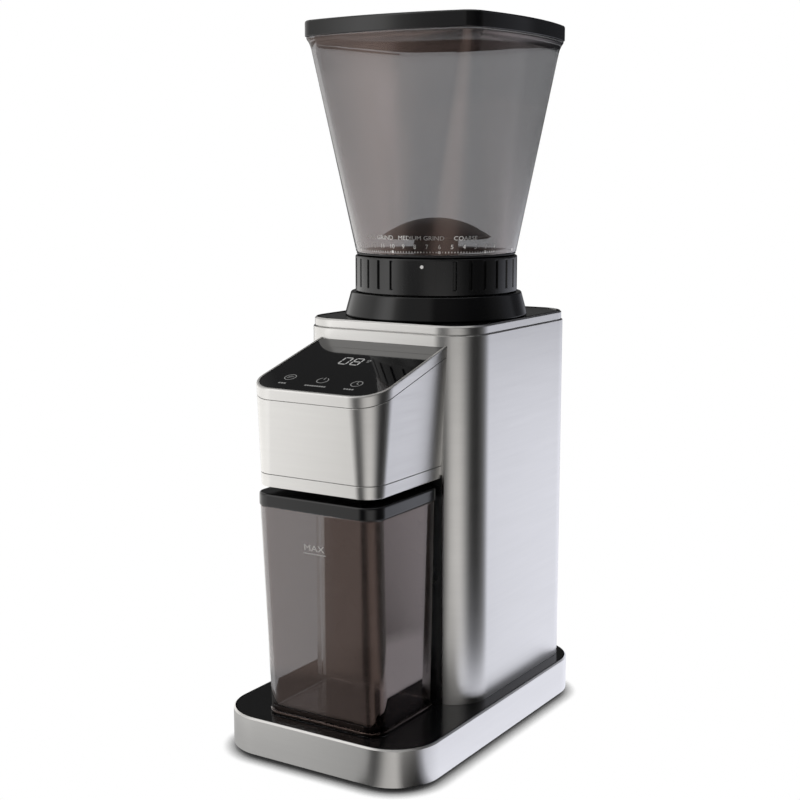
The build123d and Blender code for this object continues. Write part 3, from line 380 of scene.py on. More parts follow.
def brushed_steel():
    """Stainless sheet, belt-brushed level: the hairlines draw each reflection out up and down and leave it
    narrow across. They are 0.15 mm apart on the real sheet and drawn 0.4 mm apart, so that they show."""
    material, tree, place = new_material("brushed_stainless_steel")
    run, hairline_gap, streak_gap = 45 * MM, 0.4 * MM, 2.2 * MM
    drawn = []
    for gap, detail in ((hairline_gap, 3.0), (streak_gap, 2.0)):
        lines = node(tree, "ShaderNodeMapping", {"Vector": place, "Scale": (1 / run, 1 / run, 1 / gap)})
        drawn.append(node(tree, "ShaderNodeTexNoise", {"Vector": lines, "Scale": 1.0, "Detail": detail}))
    hairlines, streaks = drawn
    rough = node(tree, "ShaderNodeMapRange", {"Value": hairlines, "From Min": 0.3, "From Max": 0.7,
                                              "To Min": 0.31, "To Max": 0.37})
    dull = tuple(0.95 * c for c in tint("steel")[:3]) + (1,)
    base = node(tree, "ShaderNodeMixRGB", {"Fac": streaks, "Color1": tint("steel"), "Color2": dull})
    bump = node(tree, "ShaderNodeBump", {"Height": hairlines, "Strength": 1.0, "Distance": 0.0016 * MM})
    level = node(tree, "ShaderNodeNewGeometry").outputs["True Normal"]
    across = node(tree, "ShaderNodeVectorMath", {0: level, 1: (0, 0, 1)}, operation="CROSS_PRODUCT")
    upward = node(tree, "ShaderNodeVectorMath", {0: across, 1: level}, operation="CROSS_PRODUCT")
    shader = node(tree, "ShaderNodeBsdfPrincipled", {
        "Base Color": base, "Metallic": 1.0, "Roughness": rough, "Anisotropic": 0.65, "Tangent": upward,
        "Normal": bump})
    node(tree, "ShaderNodeOutputMaterial", {"Surface": shader})
    return material


def moulded(name, base, roughness, spread=0.04, grit=0.7, depth=0.002, specular=0.5):
    """Moulded plastic or rubber: an even colour, soft clouds 30 mm wide in its gloss, and the mould's grit,
    whose size and depth are in millimetres."""
    material, tree, place = new_material(name)
    speck = node(tree, "ShaderNodeTexNoise", {"Vector": place, "Scale": 1 / (grit * MM), "Detail": 3.0})
    bump = node(tree, "ShaderNodeBump", {"Height": speck, "Strength": 1.0, "Distance": depth * MM})
    rough = clouds(tree, place, 30, roughness - spread, roughness + spread)
    shader = node(tree, "ShaderNodeBsdfPrincipled", {
        "Base Color": base, "Roughness": rough, "Specular IOR Level": specular, "Normal": bump})
    node(tree, "ShaderNodeOutputMaterial", {"Surface": shader})
    return material


def smoky_plastic(name, density, sheen):
    """Injection-moulded clear copolyester with a smoke tint, polished. Part of the tint lies in its depth,
    with a density per millimetre, so that its edges look darker than its walls. Handling leaves faint dull
    clouds 12 mm wide, and the tint warms what it mirrors face on."""
    material, tree, place = new_material(name)
    shader = node(tree, "ShaderNodeBsdfPrincipled", {
        "Base Color": tint("smoke"), "Roughness": clouds(tree, place, 12, 0.0, 0.012), "IOR": 1.57,
        "Transmission Weight": 1.0, "Specular IOR Level": sheen, "Specular Tint": tint("smoke_sheen")})
    depth = node(tree, "ShaderNodeVolumeAbsorption", {"Color": tint("smoke_depth"), "Density": density / MM})
    node(tree, "ShaderNodeOutputMaterial", {"Surface": shader, "Volume": depth})
    return material


def metal(name, base, roughness, cloud_width=3.0, spread=0.06):
    """Bare or plated metal whose gloss varies in clouds of the given width in millimetres."""
    material, tree, place = new_material(name)
    rough = clouds(tree, place, cloud_width, roughness - spread, roughness + spread)
    shader = node(tree, "ShaderNodeBsdfPrincipled", {
        "Base Color": base, "Metallic": 1.0, "Roughness": rough})
    node(tree, "ShaderNodeOutputMaterial", {"Surface": shader})
    return material


def lit_mark(name, weakest, strongest):
    """White light through a printed mask in the touch glass, a little uneven every 3 mm."""
    material, tree, place = new_material(name)
    strength = clouds(tree, place, 3, weakest, strongest, 2.0)
    light = node(tree, "ShaderNodeEmission", {"Color": tint("mark"), "Strength": strength})
    node(tree, "ShaderNodeOutputMaterial", {"Surface": light})
    return material


FINISHES = {}


def make_finishes():
    """Every finish of the object, keyed by the record's material slots and by a few marks."""
    FINISHES.update({
        "brushed_steel": brushed_steel(),
        # Glossy ABS from a polished mould: a deep black that mirrors the studio faintly.
        "gloss_black": moulded("polished_black_ABS", tint("black"), 0.14, 0.03, depth=0.0006, specular=0.42),
        # Satin ABS: the same black from a fine-sparked mould, with broad soft highlights.
        "satin_black": moulded("satin_black_ABS", tint("black"), 0.27, 0.04, 0.5, 0.002, 0.55),
        # Glass-filled nylon: dark grey, with a dull skin where the fibres reach it.
        "dark_plastic": moulded("glass_filled_nylon", linear("1A1A1C"), 0.5, 0.08, 0.9, 0.01),
        # Float glass over black ink: a mirror-smooth face on a black ground.
        "touch_glass": moulded("black_backed_glass", linear("050506"), 0.05, 0.02, 2.0, 0.0001),
        # Clear copolyester with a smoke tint; the bin's is deeper and mirrors less.
        "smoke_clear": smoky_plastic("smoky_clear_copolyester", 0.105, 0.5),
        "deep_smoke": smoky_plastic("deep_smoky_clear_copolyester", 0.15, 0.26),
        # Nitrile rubber: dull black with a skin that scatters nearly all light.
        "rubber": moulded("moulded_rubber", linear("141414"), 0.75, 0.08, 0.6, 0.02),
        # Pressed wool felt: pale and wholly matte, with fibres that stand up.
        "felt": moulded("pressed_felt", linear("C9C3B4"), 0.95, 0.03, 0.5, 0.15),
        # Zinc plate on steel: a pale cool metal with a cloudy skin.
        "plated_steel": metal("zinc_plated_steel", linear("C4C6C8"), 0.32),
        # Ground tool steel: darker than the casing, evenly scattered light.
        "burr_steel": metal("ground_tool_steel", linear("A9A9AB"), 0.35, 2.0),
        # Die-cast aluminium: pale and rough as it left the die.
        "cast_aluminium": metal("die_cast_aluminium", linear("B4B5B7"), 0.5, 1.5, 0.1),
        # Sintered bronze: brown-gold and porous.
        "bronze": metal("sintered_bronze", linear("B98A4A"), 0.45, 1.0, 0.1),
        # Ground ferrite: a dark grey ceramic.
        "ferrite": moulded("ground_ferrite", linear("3A3A3D"), 0.6, 0.08, 0.8, 0.01),
        # Acetal: waxy off-white gears.
        "gear_acetal": moulded("moulded_acetal", linear("E4E1D6"), 0.35, 0.05),
        # Solder mask on laminate: glossy green over copper.
        "circuit_board": moulded("solder_mask_laminate", linear("1F6B3A"), 0.35, 0.06, 1.5, 0.01),
        # Light through a white mask: the digits are bright and the icons dim.
        "lit_digits": lit_mark("backlit_white_mask", 0.6, 0.74),
        "lit_icons": lit_mark("dimly_backlit_white_mask", 0.3, 0.4),
        # Screen ink: thin, matte and slightly uneven.
        "ink": moulded("white_screen_ink", linear("E8E6E2"), 0.52, 0.08, 0.4, 0.002),
        "grey_ink": moulded("grey_screen_ink", linear("B8B4B0"), 0.52, 0.08, 0.4, 0.002),
    })


def dress_frame():
    """Gives every CAD node the finish of its slot."""
    for name, slot in SLOT_OF.items():
        part = frame["nodes"][name]
        part.data.materials.clear()
        part.data.materials.append(FINISHES[slot])


def settle(piece, body, stands_for=None, look=None):
    """Lets a piece ride on a body and gives it a finish. A piece that stands for a CAD node takes the finish
    of the node's slot unless another look is given."""
    slot = SLOT_OF.get(stands_for)
    piece.data.materials.append(FINISHES[look or slot])
    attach(piece, body)
    if stands_for:
        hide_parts(stands_for)
    piece.modifiers.new("flats_stay_flat", "WEIGHTED_NORMAL").keep_sharp = True


# ---------------------------------------------------------------- the frame's measures
# In millimetres. What isn't read from the frame is the size of a wall, an edge or a corner.
BASE_HALF_W, BASE_BACK = high("base_band", X), high("base_band", Y)
BAND_Z, BASE_TOP = low("base_band", Z), high("base_band", Z)
TOWER_HALF_W, TOWER_FRONT, TOWER_BACK = high("tower_wrap", X), low("tower_wrap", Y), high("tower_wrap", Y)
WRAP_Z, WRAP_TOP = low("tower_wrap", Z), high("tower_wrap", Z)
SEAM = 0.25
TRIM_Z, TOWER_TOP = WRAP_TOP + SEAM, high("tower_trim_band", Z)
VENT_HALF_W = high("rear_vent_panel", X)
VENT_LOW, VENT_TOP = low("rear_vent_panel", Z), high("rear_vent_panel", Z)
HEAD_TOP_HALF_W, HEAD_TOP_FRONT = high("head_top_frame", X), low("head_top_frame", Y)
HEAD_BOTTOM, HEAD_GROOVE = low("head_lower_trim", Z), low("head_shell", Z) - 0.2
HEAD_SLOPE = 0.276
HEAD_BACK_Z = high("head_top_frame", Z) - HEAD_SLOPE * (high("head_top_frame", Y) - TOWER_FRONT)
HEAD_LOW_HALF_W, HEAD_LOW_FRONT = 38.65, -96.1
HEAD_SEAM_DROP, HEAD_REACH = 6.0, 1.5
GLASS_DROP, MARK_LIFT = 0.25, 0.03
PANEL_HALF_W = high("tower_front_panel", X) - 0.9
RING_R, RING_Z, RING_TOP = high("adjusting_ring", X), 252.5, high("adjusting_ring", Z)
COLLAR_R, COLLAR_Z, COLLAR_TOP = high("collar", X), low("collar", Z), high("collar", Z)
HOPPER_Z, WALL_Z, RIM_COLLAR_TOP = RING_TOP + 0.7, low("hopper", Z), high("hopper", Z)
HOPPER_RIM = RIM_COLLAR_TOP - 5.8
FLOOR_TOP, NECK_Z, NECK_R, NECK_BORE = high("hopper_base", Z), low("hopper_base", Z), 36.2, 33.4
# Half width, side radius and corner radius of the hopper's plan at its foot and at its rim.
HOPPER_LOW, HOPPER_HIGH = (45.8, 52.0, 41.0), (60.6, 225.0, 11.4)
HOPPER_WALL, RIM_FLANGE = 2.2, 1.4
LID_HALF, LID_Z, LID_TOP = high("hopper_lid", X), low("hopper_lid", Z), high("hopper_lid", Z)
LID_SIDE_R, LID_CORNER_R = 225.0, 11.4
BIN_Z, BIN_TOP, BIN_BACK = low("grounds_bin", Z), high("grounds_bin", Z), -31.2
# Half width and front of the bin's plan at its foot and at its rim.
BIN_LOW, BIN_HIGH, BIN_WALL = np.array((37.2, -90.2)), np.array((39.0, -96.0)), 2.2
BIN_FRONT_CORNER, BIN_BACK_CORNER, BIN_LID_GROWTH = 9.0, 6.0, 1.0
BIN_LID_Z, BIN_LID_TOP = low("bin_lid", Z), high("bin_lid", Z)
BIN_LID_HALF_W, BIN_LID_FRONT, BIN_LID_BACK = high("bin_lid", X), low("bin_lid", Y), high("bin_lid", Y)


# ---------------------------------------------------------------- base
def base_outline(inset):
    """The base's plan drawn in by an inset: a rectangle with round corners."""
    corner = size("base_corner") - inset
    return round_rect(BASE_HALF_W - inset, inset - BASE_BACK, BASE_BACK - inset, corner, corner, 20)


def base_band():
    """The base's outline drawn in by each profile point's inset; the profile is the band's section."""
    wall, top, chamfer = size("sheet"), BASE_TOP, 0.9
    corners = [(wall, BAND_Z), (0, BAND_Z), (0, top - chamfer), (chamfer, top), (wall, top)]
    section = eased(corners, [0, 0.4, 0.25, 0.25, 0], 3)
    settle(surface("base_band_brushed", rings(base_outline, section), True), "housing", "base_band")


def feet():
    """Four turned rubber feet with a rolled lower edge."""
    radius, top = 8.5, high("feet", Z)
    profile = eased([(TINY, 0), (radius, 0), (radius, top), (TINY, top)], [0, 1.0, 0.2, 0], closed=False)
    for k, (sx, sy) in enumerate([(-1, -1), (1, -1), (-1, 1), (1, 1)]):
        centre = sx * (high("feet", X) - radius), sy * (high("feet", Y) - radius)
        settle(turned(f"rubber_foot_{k}", profile, 48, False, centre, cap_ends=True), "housing", "feet")


# ---------------------------------------------------------------- tower
def tower_outline(inset):
    """The tower's plan drawn in by an inset, with a point on its back at each side of the vent."""
    return round_rect(TOWER_HALF_W - inset, TOWER_FRONT + inset, TOWER_BACK - inset,
                      size("tower_front_corner") - inset, size("tower_back_corner") - inset, 27,
                      back_stops=(-VENT_HALF_W, VENT_HALF_W))


def tower_sleeve():
    """One wall on the tower's outline, without the quads of the front panel and the rear vent, then
    thickened inwards."""
    under_head, top, edge = HEAD_BOTTOM + 2, WRAP_TOP, 0.5
    heights = np.array([WRAP_Z, VENT_LOW, VENT_TOP, under_head, top - 2 * edge, top - edge, top])
    rows = np.stack(rings(tower_outline, zip([0] * 6 + [edge], heights)))
    middle_x, middle_y = ((rows[0, :, axis] + np.roll(rows[0, :, axis], -1)) / 2 for axis in (X, Y))
    middle_z = (heights[:-1] + heights[1:]) / 2
    panel = (np.abs(middle_x) < PANEL_HALF_W) & (middle_y < TOWER_FRONT + 1)
    vent = (np.abs(middle_x) < VENT_HALF_W) & (middle_y > TOWER_BACK - 1)
    drop = panel[None] & (middle_z < under_head)[:, None]
    drop |= vent[None] & ((middle_z > VENT_LOW) & (middle_z < VENT_TOP))[:, None]
    sleeve = surface("tower_sleeve_brushed", rows, keep=~drop)
    wall = sleeve.modifiers.new("wall", "SOLIDIFY")
    wall.thickness = size("sheet") * MM
    wall.offset = -1
    settle(sleeve, "housing", "tower_wrap")


def tower_trim():
    """The trim band's section, with its bright chamfer and the lip behind the seam, round the tower."""
    face, lip, back, lip_z = 0.8, 1.7, 2.9, TRIM_Z - 4.6
    corners = [(lip, lip_z), (lip, TRIM_Z), (face, TRIM_Z), (face, TOWER_TOP - 0.9), (lip, TOWER_TOP),
               (back, TOWER_TOP), (back, lip_z)]
    section = eased(corners, [0, 0, 0.2, 0.25, 0.25, 0, 0], 3)
    settle(surface("tower_trim_brushed", rings(tower_outline, section), True), "housing", "tower_trim_band")


def cord_gland():
    """Turned bushing about a level axis at the back: the turned shape has its axis laid along Y."""
    x, z = ((low("cord_gland", axis) + high("cord_gland", axis)) / 2 for axis in (X, Z))
    front, back = low("cord_gland", Y), high("cord_gland", Y)
    bore, body, flange, flange_depth = 3.4, 7.0, 8.8, 1.3
    corners = [(bore, back), (flange, back), (flange, back - flange_depth), (body, back - flange_depth),
               (body, front), (bore, front)]
    radius, along = eased(corners, [0.5, 0.6, 0.2, 0, 0.3, 0.3]).T[..., None]
    points = polar(radius, full_turn(64), along, (x, z))[..., [0, 2, 1]]
    settle(surface("cord_gland_moulded", points, True), "housing", "cord_gland")


# ---------------------------------------------------------------- control head
def panel_z(y):
    """Height of the sloped control face at y."""
    return HEAD_BACK_Z + HEAD_SLOPE * (np.asarray(y) - TOWER_FRONT)


def head_path(half_w, front, radius, steps=14):
    """Open path from the tower round the head's front and back to the tower: its left half, mirrored."""
    angle = np.linspace(0, pi / 2, steps + 1)
    arc = np.stack([-half_w + radius * (1 - np.cos(angle)), front + radius * (1 - np.sin(angle))], -1)
    ease = EASE * radius
    left = np.vstack([[-half_w, TOWER_FRONT + HEAD_REACH], [-half_w, front + radius + ease], arc,
                      [-half_w + radius + ease, front]])
    return np.vstack([left, left[::-1] * [-1, 1]])


def head_row(inset, drop=None, level=None):
    """Points on the head's wall: the straight line from the lower outline to the rim's outline, cut at a
    depth below the sloped rim or at a level."""
    low_path = head_path(HEAD_LOW_HALF_W - inset, HEAD_LOW_FRONT + inset, size("head_low_corner") - inset)
    top_path = head_path(HEAD_TOP_HALF_W - inset, HEAD_TOP_FRONT + inset, size("head_top_corner") - inset)
    rise = panel_z(top_path[:, 1]) - HEAD_BOTTOM
    share = 1 - drop / rise if drop is not None else (level - HEAD_BOTTOM) / rise
    share = np.asarray(share)[:, None]
    return np.column_stack([low_path * (1 - share) + top_path * share, HEAD_BOTTOM + share[:, 0] * rise])


def head_rows(kind, *section):
    """Rows of the head's wall from pairs of an inset and a drop, or of an inset and a level."""
    return [head_row(inset, **{kind: value}) for inset, value in section]


def head_bands():
    """Rim, shell and lower band of the head, with eased edges along both seams."""
    seam, groove, bottom, lip, back = HEAD_SEAM_DROP, HEAD_GROOVE, HEAD_BOTTOM, 1.6, 2.8
    bands = [
        ("head_rim_brushed", "head_top_frame", head_rows(
            "drop", (1.7, seam + 5), (1.7, seam), (0.15, seam), (0, seam - 0.15), (0, seam - 0.7), (0, 1.2),
            (0, 0.6), (0.12, 0.2), (0.4, 0), (1.0, 0), (1.5, 0), (lip, 0.1), (lip, 2.6), (back, 2.6),
            (back, seam + 5))),
        ("head_shell_brushed", "head_shell", head_rows(
            "level", (1.5, groove), (0.15, groove), (0, groove + 0.15), (0, groove + 1.2)) + head_rows(
            "drop", (0, seam + 1.0), (0, seam + SEAM + 0.15), (0.15, seam + SEAM), (1.5, seam + SEAM))),
        ("head_lower_brushed", "head_lower_trim", head_rows(
            "level", (lip, bottom), (0.5, bottom), (0.15, bottom + 0.15), (0, bottom + 0.5),
            (0, bottom + 1.0), (0, groove - 0.9), (0, groove - SEAM - 0.15), (0.15, groove - SEAM),
            (lip, groove - SEAM), (lip, groove + 5), (back, groove + 5), (back, bottom)))]
    for name, stands_for, rows in bands:
        settle(surface(name, rows, True, close_columns=False, cap_sides=True), "housing", stands_for)


def on_panel(x, y):
    """Carries flat marks onto the touch glass."""
    return np.stack([x, y, panel_z(y) - GLASS_DROP + MARK_LIFT], -1)


SEGMENTS = {"0": "abcdef", "8": "abcdefg"}
SEGMENT_ENDS = {"a": (-1, 1, 1, 1), "b": (1, 1, 1, 0), "c": (1, 0, 1, -1), "d": (-1, -1, 1, -1),
                "e": (-1, 0, -1, -1), "f": (-1, 1, -1, 0), "g": (-1, 0, 1, 0)}


def seven_segment(digit, cx, cy, height):
    """Strokes of one seven-segment digit; each segment is a bar with pointed ends."""
    half_w, half_h, thick, gap = 0.29 * height, height / 2, 0.08 * height, 0.35
    bars = []
    for name in SEGMENTS[digit]:
        a, b = np.reshape(SEGMENT_ENDS[name], (2, 2)) * [half_w, half_h]
        along = (b - a) / np.linalg.norm(b - a)
        side = np.array([-along[1], along[0]]) * thick / 2
        a, b = a + along * thick * gap, b - along * thick * gap
        tip = along * thick / 2
        bar = np.stack([a, a + tip - side, b - tip - side, b, b - tip + side, a + tip + side])
        bars.append(bar + [cx, cy])
    return bars


def touch_marks():
    """Digits and icons on the glass: two digits, a small unit sign, three round icons and their bars."""
    height, y = size("digit_height"), -56.5
    digits = seven_segment("0", -5.0, y, height) + seven_segment("8", 2.4, y, height)
    settle(flat_shapes("touch_panel_digits", digits, on_panel), "housing", look="lit_digits")
    thin, thick, radius, top, low_line, dash = 0.42, 1.3, 3.2, -82.3, -90.0, 0.72
    (ax, ay), (bx, by), (cx, cy) = (-23.3, top), (-2.0, top - 0.3), (19.9, top - 0.6)
    icons = ring_quads(8.7, -54.0, 0.9, thin, 0, 360, 20) + [stroke(7.9, -56.0, 9.6, -56.0, thin)]
    icons += ring_quads(ax, ay, radius, thin)
    icons += [stroke(ax - 1.6, ay - 1.0, ax + 1.6, ay + 1.0, thin),
              stroke(ax - 1.6, ay + 0.5, ax + 0.5, ay + 1.6, thin)]
    icons += ring_quads(bx, by, radius, thin, 120, 420) + [stroke(bx, by + 0.8, bx, by + 3.7, thin)]
    icons += ring_quads(cx, cy, radius, thin)
    icons += [stroke(cx, cy, cx, cy + 2.1, thin), stroke(cx, cy, cx + 1.5, cy - 0.7, thin)]
    for x0, x1 in [(-25.6, -20.4), (-8.4, 5.2), (16.4, 22.9)]:
        cells = int((x1 - x0) / 1.5)
        step = (x1 - x0) / cells
        icons += [stroke(x0 + step * k, low_line, x0 + step * (k + dash), low_line, thick)
                  for k in range(cells)]
    settle(flat_shapes("touch_panel_icons", icons, on_panel), "housing", look="lit_icons")


# ---------------------------------------------------------------- collar and ring
def collar():
    """Fixed cone turned from its section."""
    outer_bore, bore, shoulder_r, ledge = 46.4, 44.3, 50.0, 247.0
    corners = [(outer_bore, COLLAR_Z), (COLLAR_R, COLLAR_Z), (shoulder_r, COLLAR_TOP), (bore, COLLAR_TOP),
               (bore, ledge), (outer_bore, ledge)]
    section = eased(corners, [0, 1.0, 0.9, 0.2, 0, 0], 5)
    settle(turned("collar_cone", section, 192), "housing", "collar")


RING_BORE, SKIRT_R, SKIRT_Z = 40.5, 43.8, 244.0
RING_GROOVES, POINTER_AZIMUTH, POINTER_Z = 32, 21.0, 269.0


def grind_ring():
    """Ring whose radius dips by the groove depth in narrow slots: the dip is a smooth step across each
    slot times a straight one along its height. The slots beside the pointer are left out."""
    r, depth, width = RING_R, size("groove_depth"), size("groove_width")
    corners = [(RING_BORE, SKIRT_Z), (SKIRT_R, SKIRT_Z), (SKIRT_R, RING_Z), (r, RING_Z), (r, RING_TOP),
               (RING_BORE, RING_TOP)]
    section = eased(corners, [0, 0, 0, 0.7, 0.8, 0.6])
    groove_low, groove_high, ramp = RING_Z + 3.4, RING_TOP - 1.5, 0.5
    extra = np.concatenate([np.linspace(groove_low - ramp, groove_low + ramp, 6), np.linspace(262, 266, 3),
                            np.linspace(groove_high - 0.6, groove_high + 0.2, 5)])
    start = np.flatnonzero((section[:, 0] > r - 1e-6) & (section[:, 1] < RING_Z + 3))[-1] + 1
    section = np.vstack([section[:start], np.column_stack([np.full(len(extra), r), extra]), section[start:]])
    radii, heights = section.T[..., None]
    pitch, spared = 2 * pi / RING_GROOVES, 9.0
    offsets = np.array([-1.35, -1.0, -0.8, -0.6, 0.6, 0.8, 1.0, 1.35]) * width / 2 / r
    fill = np.linspace(pitch / 2 - pitch * 0.36, pitch / 2 + pitch * 0.36, 5)
    columns = np.concatenate([offsets, fill])
    angles = (np.arange(RING_GROOVES)[:, None] * pitch + columns).ravel()
    local = np.tile(np.concatenate([offsets, np.full(len(fill), spared)]), RING_GROOVES)
    number = np.repeat(np.arange(RING_GROOVES), len(columns))
    slot = np.clip((width / 2 / r - np.abs(local)) / (0.2 * width / r), 0, 1)
    slot[(number < 2) | (number == RING_GROOVES - 1)] = 0
    rise = np.clip((heights - groove_low) / ramp + 0.5, 0, 1) * (radii > r - TINY)
    fall = np.clip((groove_high - heights) / ramp + 0.5, 0, 1)
    radius = radii - depth * rise * fall * smooth(slot)
    points = polar(radius, angles + radians(POINTER_AZIMUTH - 90), heights)
    settle(surface("grind_ring_ribbed", points, True, crease=50), "grind_ring", "adjusting_ring")


def on_ring(x, y):
    """Wraps flat marks on the ring: x is arc length right of the front and y is height."""
    return polar(RING_R + STAND_OFF, x / RING_R - pi / 2, y)


def pointer_dot():
    """White pointer on the ring's smooth pad."""
    dot = disc_shape(radians(POINTER_AZIMUTH) * RING_R, POINTER_Z, 1.0)
    settle(flat_shapes("ring_pointer_dot", [dot], on_ring), "grind_ring", look="ink")


# ---------------------------------------------------------------- hopper
def hopper_outline(inset, z):
    """Outline of the hopper's wall at z: each point of the round lower outline moves in a straight line to
    its place on the square upper one."""
    share = min((z - HOPPER_Z) / (HOPPER_RIM - HOPPER_Z), 1)
    low_line, high_line = (bowed_square(*(v - inset for v in shape)) for shape in (HOPPER_LOW, HOPPER_HIGH))
    return low_line * (1 - share) + high_line * share


def hopper():
    """Clear wall as a closed skin: up the outside, over the flange and the collar, and down the inside.
    The outline at each height is drawn in by the row's inset, so the skin flares where the inset falls
    below zero."""
    rim, flange, wall, top = HOPPER_RIM, -RIM_FLANGE, HOPPER_WALL, RIM_COLLAR_TOP
    rise = np.linspace(WALL_Z + 3, rim - 9, 9)
    section = [(1.2, WALL_Z), (0.35, WALL_Z), (0.08, WALL_Z + 0.2), (0, WALL_Z + 0.7)]
    section += [(0, z) for z in rise]
    section += [(0, rim - 6.5), (-0.12, rim - 5), (-0.5, rim - 3.2), (-0.95, rim - 2.0),
                (flange + 0.1, rim - 1.4), (flange, rim - 1.0), (flange, rim - 0.3), (flange + 0.3, rim),
                (0.4, rim), (0.2, rim + 0.3), (0.2, top - 0.5), (0.6, top), (wall - 0.4, top),
                (wall, top - 0.5)]
    section += [(wall, z) for z in rise[::-1]] + [(wall, WALL_Z + 0.6), (wall - 0.3, WALL_Z)]
    rows = [with_height(hopper_outline(inset, z), z) for inset, z in section]
    settle(surface("bean_hopper_smoky", rows, True, crease=60), "hopper", "hopper")


def circle_like(radius):
    """Circle with a column for each column of the hopper's outline, at the same bearing."""
    flat = hopper_outline(0, HOPPER_Z) - [0, AXIS_Y]
    return flat / np.linalg.norm(flat, axis=1)[:, None] * radius + [0, AXIS_Y]


def hopper_floor():
    """Closed skin of the dark floor: up the neck, out under the flange, up its edge, in over the plate that
    fills the clear wall, and down the bore. Three bayonet lugs stand on the neck."""
    wall, bore = HOPPER_WALL, NECK_BORE
    neck = [(bore + 0.5, NECK_Z), (NECK_R - 0.5, NECK_Z), (NECK_R, NECK_Z + 0.5), (NECK_R, HOPPER_Z - 0.4),
            (NECK_R + 0.4, HOPPER_Z)]
    flange = [(1.0, HOPPER_Z), (0.3, HOPPER_Z), (0, HOPPER_Z + 0.3), (0, WALL_Z - 0.3), (0.3, WALL_Z),
              (wall - 0.2, WALL_Z), (wall, WALL_Z + 0.1), (wall, FLOOR_TOP - 0.2), (wall + 0.4, FLOOR_TOP),
              (wall + 2.5, FLOOR_TOP)]
    inside = [(bore + 1.4, FLOOR_TOP), (bore + 0.4, FLOOR_TOP - 0.3), (bore, FLOOR_TOP - 1.2),
              (bore, NECK_Z + 0.5)]
    rows = rings(circle_like, neck)
    rows += [with_height(hopper_outline(inset, HOPPER_Z), z) for inset, z in flange]
    rows += rings(circle_like, inside)
    settle(surface("hopper_floor_moulded", rows, True, crease=50), "hopper", "hopper_base")
    half_w, half_h, lug_z = 4.0, 1.7, 259.5
    section = eased([(-half_w, -half_h), (half_w, -half_h), (half_w, half_h), (-half_w, half_h)], 0.5, 3)
    out = np.array([[NECK_R - 0.4], [NECK_R + 1.9], [NECK_R + 2.3]])
    shrink = np.array([[1], [1], [0.9]])
    for k in range(3):
        points = spoke(out, section[:, 0] * shrink, lug_z + section[:, 1] * shrink, radians(90 + 120 * k))
        settle(surface(f"hopper_lug_{k}", points, cap_ends=True), "hopper", "hopper_base")


# The scale's radius in millimetres, and the arc length of one click of the ring.
SCALE_R = 46.7
CLICK = radians(8.4375) * SCALE_R


def hopper_radius(x, y):
    """Radius of the hopper's outside at a bearing and height, from its outline at that height."""
    bearing = np.broadcast_to(np.asarray(x, float) / SCALE_R - pi / 2, np.shape(y))
    share = (np.asarray(y) - HOPPER_Z) / (HOPPER_RIM - HOPPER_Z)
    found = []
    for shape in (HOPPER_LOW, HOPPER_HIGH):
        line = bowed_square(*shape) - [0, AXIS_Y]
        angle = np.arctan2(line[:, 1], line[:, 0])
        found.append(np.interp(bearing, angle, np.linalg.norm(line, axis=1), period=2 * pi))
    return found[0] * (1 - share) + found[1] * share


def on_hopper(x, y):
    """Wraps flat marks on the hopper: x is arc length at the scale's radius and y is height."""
    return polar(hopper_radius(x, y) + STAND_OFF, x / SCALE_R - pi / 2, y)


def grind_scale():
    """Printed scale: large dots every four clicks, fine ticks, a number at each click and three words."""
    first, last, settings = radians(-60.0) * SCALE_R, radians(76) * SCALE_R, 17
    dots = radians(-1.0) * SCALE_R + np.arange(-2, 4) * 4 * CLICK
    shapes = [disc_shape(x, WALL_Z + 1.9, 0.85) for x in dots]
    shapes += [stroke(x, WALL_Z + 1.5, x, WALL_Z + 2.3, 0.35) for x in np.arange(first, last, CLICK / 4)]
    settle(flat_shapes("hopper_scale_dots", shapes, on_hopper), "hopper", look="ink")
    texts = [(str(settings - k), first + CLICK * k, 5.0, 2.4, 1.0) for k in range(settings)]
    texts += [(word, radians(bearing) * SCALE_R, 9.8, 2.3, 1.1)
              for word, bearing in (("FINE GRIND", -12.0), ("MEDIUM GRIND", 20.0), ("COARSE", 50.5))]
    letters = [outline + [x, WALL_Z + rise] for text, x, rise, height, width_share in texts
               for outline in lettering(text, height, width_share)]
    settle(flat_shapes("hopper_scale_numbers", letters, on_hopper), "hopper", look="ink")


